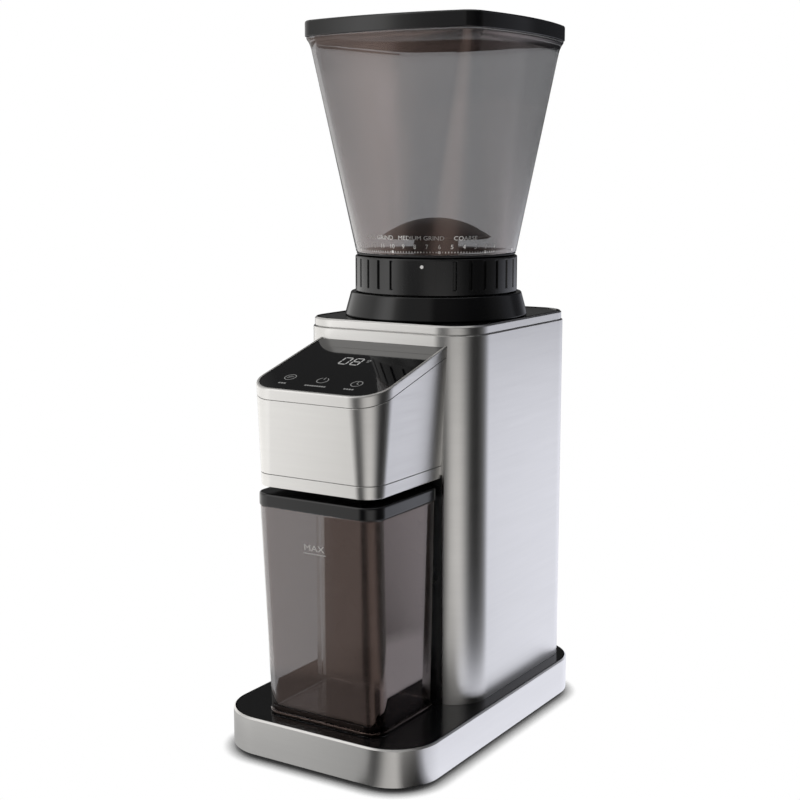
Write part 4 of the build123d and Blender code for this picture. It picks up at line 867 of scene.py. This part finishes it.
def bean_guard():
    """Domed umbrella on a hollow stem, turned from a shallow arc and its inner offset, and the ring and the
    three ribs that hold it in the neck."""
    top, rim, radius, wall = high("bean_guard", Z), 284.0, 32.0, 2
    foot, shelf = low("bean_guard", Z), low("bean_guard", Z) + 5.0
    stem_r, ring_bore, rib_half_w, rib_ends = 13, 31.2, 1.3, np.array([[12.0], [32.0]])
    sphere = (radius ** 2 + (top - rim) ** 2) / (2 * (top - rim))
    r = np.linspace(radius - 0.6, TINY, 14)
    outer = np.column_stack([r, top - sphere + np.sqrt(sphere ** 2 - r ** 2)])
    r = np.linspace(stem_r, radius - 1.6, 10)
    inner = np.column_stack([r, top - wall - sphere + np.sqrt(sphere ** 2 - r ** 2)])
    stem = [(TINY, foot + 0.3), (stem_r - 0.4, foot), (stem_r, foot + 0.4), (stem_r, inner[0, 1] - 1.5)]
    profile = np.vstack([stem, inner, [(radius - 0.5, rim - 0.2), (radius, rim + 0.2)], outer])
    settle(turned("bean_guard_dome", profile, 128, False, crease=50, cap_ends=True), "hopper", "bean_guard")
    corners = [(ring_bore, foot), (NECK_BORE - 0.1, foot), (NECK_BORE - 0.1, shelf), (ring_bore, shelf)]
    settle(turned("bean_guard_ring", eased(corners, 0.4, 3)), "hopper", "bean_guard")
    corners = [(-rib_half_w, foot), (rib_half_w, foot), (rib_half_w, shelf), (-rib_half_w, shelf)]
    across, z = eased(corners, 0.4, 3).T
    for k in range(3):
        points = spoke(rib_ends, across, z, radians(30 + 120 * k))
        settle(surface(f"bean_guard_rib_{k}", points, cap_ends=True), "hopper", "bean_guard")


def lid_outline(inset):
    """The hopper lid's plan: its bulging square drawn in by an inset."""
    return bowed_square(LID_HALF - inset, LID_SIDE_R - inset, LID_CORNER_R - inset)


def hopper_lid():
    """Square cap in one skin, from the middle of its hollow, down inside its edge and up to the middle of
    its top; each row is the bulging square drawn in by an inset."""
    hollow, edge, wall, middle = LID_TOP - 2.4, 1.4, 1.6, 9.0
    section = [(middle, hollow), (2.2, hollow), (wall, hollow - 0.6), (wall, LID_Z + 0.4), (1.2, LID_Z),
               (0.4, LID_Z), (0.1, LID_Z + 0.1), (0, LID_Z + 0.5), (0, LID_Z + 1.4),
               (0, LID_TOP - edge - 0.8)]
    section += [(edge * (1 - cos(t)), LID_TOP - edge * (1 - sin(t))) for t in np.linspace(0, pi / 2, 7)]
    section += [(2.4, LID_TOP), (middle, LID_TOP)]
    lid = surface("hopper_lid_moulded", rings(lid_outline, section), cap_ends=True, crease=60)
    settle(lid, "hopper_lid", "hopper_lid")


# ---------------------------------------------------------------- bin
def bin_outline(inset, z):
    """Outline of the bin's tapered wall at z: its half width and its front move straight up the wall."""
    share = (z - BIN_Z) / (BIN_TOP - BIN_Z)
    half_w, front = BIN_LOW * (1 - share) + BIN_HIGH * share
    return round_rect(half_w - inset, front + inset, BIN_BACK - inset, BIN_FRONT_CORNER - inset,
                      BIN_BACK_CORNER - inset, 12)


def grounds_bin():
    """Closed cup: from the middle of the underside, round the stepped foot, up the wall, over the rim and
    down to the middle of the floor."""
    height, ledge, middle, wall = BIN_TOP - BIN_Z, BIN_LID_Z - BIN_Z, 60.0, BIN_WALL
    section = [
        (2.0, 0.0), (-0.4, 0.0), (-0.8, 0.4), (-0.8, 1.5), (-0.5, 2.0), (0.2, 2.1), (0.1, 2.5), (0, 3.2),
        (0, 4.0), (0, middle), (0, ledge - 1.0), (0.1, ledge - 0.4), (0.5, ledge - 0.2), (0.8, ledge),
        (0.8, height - 0.4), (1.1, height), (wall - 0.4, height), (wall, height - 0.5), (wall, middle),
        (wall, 6.4), (wall + 0.2, 4.9), (wall + 0.9, 3.7), (wall + 2.0, 3.0), (wall + 3.4, 2.7)]
    rows = [with_height(bin_outline(inset, BIN_Z + z), BIN_Z + z) for inset, z in section]
    settle(surface("grounds_bin_smoky", rows, cap_ends=True, crease=60), "bin", "grounds_bin", "deep_smoke")


def on_bin_front(x, y):
    """Carries flat marks onto the bin's leaning front: y is height."""
    share = (y - BIN_Z) / (BIN_TOP - BIN_Z)
    return np.stack([x, BIN_LOW[1] * (1 - share) + BIN_HIGH[1] * share - 0.05, y], -1)


def fill_mark():
    """Fill line with its word on the bin's front."""
    line_z, word_z = 121.0, 124.2
    shapes = [outline + [0.3, word_z] for outline in lettering("MAX", 3.3, 1.3)]
    shapes += [stroke(-6.7, line_z, 7.6, line_z, 0.4)]
    settle(flat_shapes("bin_fill_mark", shapes, on_bin_front), "bin", look="grey_ink")


def bin_lid():
    """Lid: a closed section whose outline changes from the band outside to the opening under the chute. A
    shallow scoop is pressed into the middle of its front edge."""
    def band(inset):
        """The lid's outer edge drawn in by an inset."""
        corners = BIN_FRONT_CORNER + BIN_LID_GROWTH - inset, BIN_BACK_CORNER + BIN_LID_GROWTH - inset
        return round_rect(BIN_LID_HALF_W - inset, BIN_LID_FRONT + inset, BIN_LID_BACK - inset, *corners, 12)

    def mouth(grow):
        """The opening under the chute, let out all round."""
        half_w, front, back, corner = 19 + grow, -80 - grow, -40 + grow, 3 + grow
        return round_rect(half_w, front, back, corner, corner, 12)

    bottom, top, edge, underside = BIN_LID_Z, BIN_LID_TOP, 1.2, BIN_TOP + 0.1
    scoop_half_w, scoop_depth, scoop_y, scoop_fade, scoop_reach = 11, 1.7, -89, 5, 3
    outside = [(1.1, bottom), (0.4, bottom), (0.1, bottom + 0.15), (0, bottom + 0.5), (0, bottom + 1.0),
               (0, top - 1.9)]
    outside += [(edge * (1 - cos(t)), top - edge * (1 - sin(t))) for t in np.linspace(0, pi / 2, 5)]
    outside += [(inset, top) for inset in (1.8, 3.0, 4.5, 6.0, 8.0)]
    opening = [(1.0, top), (0.4, top), (0, top - 0.4), (0, BIN_TOP + 0.2), (4.0, underside)]
    rows = np.stack(rings(band, outside) + rings(mouth, opening) + rings(band, [(1.1, underside)]))
    across = np.clip(1 - np.abs(rows[..., X]) / scoop_half_w, 0, 1)
    along = np.clip((scoop_y - rows[..., Y]) / scoop_fade, 0, 1)
    upper = np.clip((rows[..., Z] - (top - scoop_reach)) / scoop_reach, 0, 1)
    rows[..., Z] -= scoop_depth * smooth(across) * upper * along
    settle(surface("bin_lid_moulded", rows, True, crease=50), "bin", "bin_lid")


# ---------------------------------------------------------------- studio
COOL, WHITE, IVORY, PEARL, WARM = "F2F4FF", "FFFFFF", "FFFEFC", "FFFEFD", "FFFDFB"
# What the studio shows in reflections, about the tower's front right corner: bearing in degrees right of the
# front, brightness at the floor and a third of a metre up, and tint.
STUDIO = [
    (-180, 1.4, 0.05, COOL), (-174, 1.25, 0.05, COOL), (-164, 0.03, 0.08, WHITE), (-126, 0.03, 0.08, WHITE),
    (-116, 1.5, 0.8, IVORY), (-60, 1.5, 0.85, IVORY), (-42, 1.5, 1.95, PEARL), (-37, 1.25, 1.95, PEARL),
    (-32, 1.04, 1.75, IVORY), (-26, 1.0, 0.8, IVORY), (-18, 0.3, 0.5, IVORY), (-10, 0.06, 0.4, WHITE),
    (0, 0.06, 0.4, WHITE), (9, 0.24, 0.42, WARM), (20, 0.8, 0.42, WARM), (28, 1.0, 0.12, WARM),
    (42, 1.1, 0.12, WARM), (53, 0.9, 0.1, WARM), (68, 0.3, 0.06, WHITE), (79, 0.05, 0.03, WHITE),
    (100, 0.03, 0.03, WHITE), (122, 0.14, 0.14, WHITE), (133, 0.52, 0.25, COOL), (146, 1.4, 0.3, COOL),
    (153, 1.4, 0.1, COOL), (180, 1.4, 0.05, COOL)]
# Painted bands that the floor shows in reflections near the base, about the base's front right corner.
NEAR_BASE = [
    (-180, 0.9, COOL), (-150, 0.9, WHITE), (-140, 0.05, WHITE), (-126, 0.05, WHITE), (-112, 0.58, WHITE),
    (-55, 0.56, WHITE), (-35, 0.5, WHITE), (-20, 0.45, WHITE), (-10, 0.06, WHITE), (2, 0.11, WHITE),
    (18, 0.72, WARM), (35, 0.78, WARM), (45, 0.06, WHITE), (54, 0.0, WHITE), (71, 0.0, WHITE),
    (82, 0.55, COOL), (90, 1.35, COOL), (110, 1.52, COOL), (174, 1.45, COOL), (180, 0.9, COOL)]
# In millimetres: how far past the base's edge the floor shows that, fading from the first distance to the
# second, and the heights between which the wall's panels turn from the floor's to the upper ones.
NEAR_BASE_START, NEAR_BASE_END = 80, 102
RISE_START, RISE_END = 95, 320
STUDIO_TOP = max(max(row[1:3]) for row in STUDIO)
WALL_RADIUS, WALL_BOTTOM, WALL_TOP, FLOOR_HALF = 640.0, 0.5, 1300.0, 3000.0
# The painted contact shadow's reach in millimetres, and the power that darkens it.
SHADOW_REACH, SHADOW_DEPTH = 8, 2.0
# Lamps by name, place, target, power and tint; places are in metres, and so are the lamps' width and the
# camera's place. The camera's angles are in degrees, and its lens and sensor in millimetres.
LAMPS = [("key_lamp", (-0.9, -1.1, 1.6), (0, 0, 0.15), 9, WHITE),
         ("side_lamp", (1.5, 0.9, 1.3), (0, 0, 0.2), 7, "F0F2FF")]
LAMP_WIDTH = 1.2
LENS, SENSOR = 64.1, 36.0
CAMERA_AT, CAMERA_TILT, CAMERA_TURN = (0.42884, -0.69074, 0.32247), 80.812, 32.176


def corner_centre(half_w, front, radius):
    """Centre of the front right corner of a plan, on the floor and in metres."""
    return (half_w - radius) * MM, (front + radius) * MM, 0.0


def lit_by_bearing(tree, place, centre, stops):
    """Colour ramp in nodes over the bearing of a place about a centre. Each stop is a bearing, a brightness,
    which counts as a share of the brightest one in the studio, and a tint."""
    off = node(tree, "ShaderNodeVectorMath", {0: place, 1: centre}, operation="SUBTRACT")
    parts = node(tree, "ShaderNodeSeparateXYZ", {"Vector": off})
    behind = node(tree, "ShaderNodeMath", {0: parts.outputs["Y"], 1: -1.0}, operation="MULTIPLY")
    bearing = node(tree, "ShaderNodeMath", {0: parts.outputs["X"], 1: behind}, operation="ARCTAN2")
    share = node(tree, "ShaderNodeMapRange", {"Value": bearing, "From Min": -pi, "From Max": pi})
    ramp = node(tree, "ShaderNodeValToRGB", {"Fac": share})
    elements = ramp.color_ramp.elements
    while len(elements) < len(stops):
        elements.new(0.5)
    for element, (at, bright, tone) in zip(elements, stops):
        element.position = (at + 180) / 360
        element.color = [bright / STUDIO_TOP * c for c in linear(tone)[:3]] + [1]
    return ramp


def studio_light(tree, place, level):
    """The studio's panels about the tower's corner: level 1 is at the floor and 2 is higher up."""
    centre = corner_centre(TOWER_HALF_W, TOWER_FRONT, size("tower_front_corner"))
    return lit_by_bearing(tree, place, centre, [(row[0], row[level], row[3]) for row in STUDIO])


def rays(tree, *kinds):
    """1 for light rays of the given kinds and 0 for others."""
    path = node(tree, "ShaderNodeLightPath")
    found = path.outputs[f"Is {kinds[0]} Ray"]
    for kind in kinds[1:]:
        found = node(tree, "ShaderNodeMath", {0: found, 1: path.outputs[f"Is {kind} Ray"]},
                     operation="MAXIMUM").outputs[0]
    return found


def staged(name, points, tree, material, shader, **how):
    """Surface of the studio itself, in a material that shows the shader."""
    node(tree, "ShaderNodeOutputMaterial", {"Surface": shader})
    piece = surface(name, points, **how)
    piece.data.materials.append(material)
    return piece


def studio_wall():
    """Cylinder that only reflections see, and nothing through clear plastic does: light and dark panels by
    bearing, dimmer with height."""
    material, tree, place = new_material("studio_panels")
    height = node(tree, "ShaderNodeSeparateXYZ", {"Vector": place}).outputs["Z"]
    rise = node(tree, "ShaderNodeMapRange", {"Value": height, "From Min": RISE_START * MM,
                                             "From Max": RISE_END * MM}, interpolation_type="SMOOTHSTEP")
    both = node(tree, "ShaderNodeMixRGB", {"Fac": rise, "Color1": studio_light(tree, place, 1),
                                           "Color2": studio_light(tree, place, 2)})
    panels = node(tree, "ShaderNodeEmission", {"Color": both, "Strength": STUDIO_TOP})
    mix = node(tree, "ShaderNodeMixShader", {0: rays(tree, "Transmission"), 1: panels,
                                             2: node(tree, "ShaderNodeBsdfTransparent")})
    ring = on_circle(0, 0, WALL_RADIUS, -full_turn(180))
    points = [with_height(ring, z) for z in (WALL_BOTTOM, WALL_TOP)]
    wall = staged("studio_wall", points, tree, material, mix)
    for kind in ("camera", "diffuse", "transmission", "shadow", "volume_scatter"):
        setattr(wall, "visible_" + kind, False)


def floor():
    """Pale paper floor: white to the camera and through clear plastic apart from a painted soft shadow where
    something stands on it; in reflections it glows with painted light and dark panels like the studio's, and
    it is clear from underneath."""
    material, tree, place = new_material("pale_paper_floor")
    rough = clouds(tree, place, 25, 0.7, 0.9, 2.0, 0.0, 1.0)
    paint = node(tree, "ShaderNodeBsdfDiffuse", {"Color": linear("E6E6E6"), "Roughness": rough})
    # Painted contact shadow: ambient occlusion darkens the white emission that the camera sees; the lamps
    # play no part in it.
    sky = node(tree, "ShaderNodeAmbientOcclusion", {"Distance": SHADOW_REACH * MM}, samples=8)
    soft = node(tree, "ShaderNodeMath", {0: sky.outputs["AO"], 1: SHADOW_DEPTH}, operation="POWER")
    white = node(tree, "ShaderNodeEmission", {"Color": (1, 1, 1, 1), "Strength": soft})
    radius = size("base_corner")
    inner = (BASE_HALF_W - radius) * MM, (BASE_BACK - radius) * MM, 1.0
    beyond = node(tree, "ShaderNodeVectorMath", {0: place}, operation="ABSOLUTE")
    beyond = node(tree, "ShaderNodeVectorMath", {0: beyond, 1: inner}, operation="SUBTRACT")
    beyond = node(tree, "ShaderNodeVectorMath", {0: beyond, 1: (0, 0, 0)}, operation="MAXIMUM")
    reach = node(tree, "ShaderNodeVectorMath", {0: beyond}, operation="LENGTH").outputs["Value"]
    start, end = ((radius + distance) * MM for distance in (NEAR_BASE_START, NEAR_BASE_END))
    from_base = node(tree, "ShaderNodeMapRange", {"Value": reach, "From Min": start, "From Max": end})
    corner = corner_centre(BASE_HALF_W, -BASE_BACK, radius)
    # Painted reflection: to glossy rays the floor emits light and dark bands by bearing, near the base and
    # beyond it.
    painted_band_glow = node(tree, "ShaderNodeMixRGB", {
        "Fac": from_base, "Color1": lit_by_bearing(tree, place, corner, NEAR_BASE),
        "Color2": studio_light(tree, place, 1)})
    panels = node(tree, "ShaderNodeEmission", {"Color": painted_band_glow, "Strength": STUDIO_TOP})
    plain = node(tree, "ShaderNodeMixShader", {0: rays(tree, "Camera", "Transmission"), 1: paint, 2: white})
    mirrored = node(tree, "ShaderNodeMath", {0: rays(tree, "Glossy"), 1: rays(tree, "Transmission")},
                    operation="SUBTRACT", use_clamp=True)
    above = node(tree, "ShaderNodeMixShader", {0: mirrored, 1: plain, 2: panels})
    below = node(tree, "ShaderNodeNewGeometry").outputs["Backfacing"]
    mix = node(tree, "ShaderNodeMixShader", {0: below, 1: above, 2: node(tree, "ShaderNodeBsdfTransparent")})
    sides = -FLOOR_HALF, FLOOR_HALF
    points = [[(x, y, 0) for x in sides] for y in sides]
    staged("studio_floor", points, tree, material, mix, close_columns=False)


def world():
    """White to the camera, to reflections and through clear plastic; softer as a light."""
    air = bpy.context.scene.world = bpy.data.worlds.new("studio_air")
    air.use_nodes = True
    tree = air.node_tree
    tree.nodes.clear()
    seen = rays(tree, "Camera", "Glossy", "Transmission")
    strength = node(tree, "ShaderNodeMapRange", {"Value": seen, "To Min": 0.62, "To Max": 1.0})
    sky = node(tree, "ShaderNodeBackground", {"Color": (1, 1, 1, 1), "Strength": strength})
    node(tree, "ShaderNodeOutputWorld", {"Surface": sky})


def lamps():
    """Square area lamps that don't show in reflections."""
    for name, at, target, power, tone in LAMPS:
        data = bpy.data.lights.new(name, "AREA")
        data.size = LAMP_WIDTH
        data.energy = power
        data.color = linear(tone)[:3]
        piece = placed(name, data)
        piece.location = at
        piece.rotation_euler = (Vector(target) - Vector(at)).to_track_quat("-Z", "Y").to_euler()
        piece.visible_glossy = False


def camera():
    """Long lens, a little above the control panel, to the front right."""
    data = bpy.data.cameras.new("camera")
    data.lens, data.sensor_width = LENS, SENSOR
    piece = placed("camera", data)
    piece.location = CAMERA_AT
    piece.rotation_euler = (radians(CAMERA_TILT), 0, radians(CAMERA_TURN))
    bpy.context.scene.camera = piece


# ---------------------------------------------------------------- operators
class GRINDER_OT_finishes(bpy.types.Operator):
    """Make the finishes and give them to the carried-over parts"""
    bl_idname = "grinder.finishes"
    bl_label = "Finishes"

    def execute(self, context):
        make_finishes()
        dress_frame()
        return {"FINISHED"}


class GRINDER_OT_base(bpy.types.Operator):
    """Build the base band and the feet"""
    bl_idname = "grinder.base"
    bl_label = "Base"

    def execute(self, context):
        base_band()
        feet()
        return {"FINISHED"}


class GRINDER_OT_tower(bpy.types.Operator):
    """Build the tower's sleeve, trim band and cord gland"""
    bl_idname = "grinder.tower"
    bl_label = "Tower"

    def execute(self, context):
        tower_sleeve()
        tower_trim()
        cord_gland()
        return {"FINISHED"}


class GRINDER_OT_head(bpy.types.Operator):
    """Build the control head and the marks on its glass"""
    bl_idname = "grinder.head"
    bl_label = "Control head"

    def execute(self, context):
        head_bands()
        touch_marks()
        return {"FINISHED"}


class GRINDER_OT_collar(bpy.types.Operator):
    """Build the collar, the ribbed ring and its pointer"""
    bl_idname = "grinder.collar"
    bl_label = "Collar and ring"

    def execute(self, context):
        collar()
        grind_ring()
        pointer_dot()
        return {"FINISHED"}


class GRINDER_OT_hopper(bpy.types.Operator):
    """Build the hopper, its floor and scale, its guard and its lid"""
    bl_idname = "grinder.hopper"
    bl_label = "Hopper"

    def execute(self, context):
        hopper()
        hopper_floor()
        grind_scale()
        bean_guard()
        hopper_lid()
        return {"FINISHED"}


class GRINDER_OT_bin(bpy.types.Operator):
    """Build the grounds bin, its fill mark and its lid"""
    bl_idname = "grinder.bin"
    bl_label = "Grounds bin"

    def execute(self, context):
        grounds_bin()
        fill_mark()
        bin_lid()
        return {"FINISHED"}


class GRINDER_OT_stage(bpy.types.Operator):
    """Set the studio: floor, reflected panels, lamps, world and camera"""
    bl_idname = "grinder.stage"
    bl_label = "Stage"

    def execute(self, context):
        context.scene.view_settings.view_transform = "Standard"
        floor()
        studio_wall()
        world()
        lamps()
        camera()
        return {"FINISHED"}


class GRINDER_PT_panel(bpy.types.Panel):
    """Lists the grinder's settings and build steps"""
    bl_label = "Coffee grinder"
    bl_space_type = "VIEW_3D"
    bl_region_type = "UI"
    bl_category = "Grinder"

    def draw(self, context):
        for group in (context.scene.grinder_sizes, context.scene.grinder_colours):
            for name in group.__annotations__:
                self.layout.prop(group, name)
        for step in OPERATORS:
            self.layout.operator(step.bl_idname)


OPERATORS = (GRINDER_OT_finishes, GRINDER_OT_base, GRINDER_OT_tower, GRINDER_OT_head, GRINDER_OT_collar,
             GRINDER_OT_hopper, GRINDER_OT_bin, GRINDER_OT_stage)
CLASSES = (GrinderSizes, GrinderColours, GRINDER_PT_panel) + OPERATORS


def register():
    for entry in CLASSES:
        bpy.utils.register_class(entry)
    bpy.types.Scene.grinder_sizes = bpy.props.PointerProperty(type=GrinderSizes)
    bpy.types.Scene.grinder_colours = bpy.props.PointerProperty(type=GrinderColours)


def unregister():
    del bpy.types.Scene.grinder_sizes
    del bpy.types.Scene.grinder_colours
    for entry in reversed(CLASSES):
        bpy.utils.unregister_class(entry)


def main():
    """Registers the add-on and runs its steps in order."""
    register()
    for step in OPERATORS:
        group, name = step.bl_idname.split(".")
        getattr(getattr(bpy.ops, group), name)()


if __name__ == "__main__":
    main()
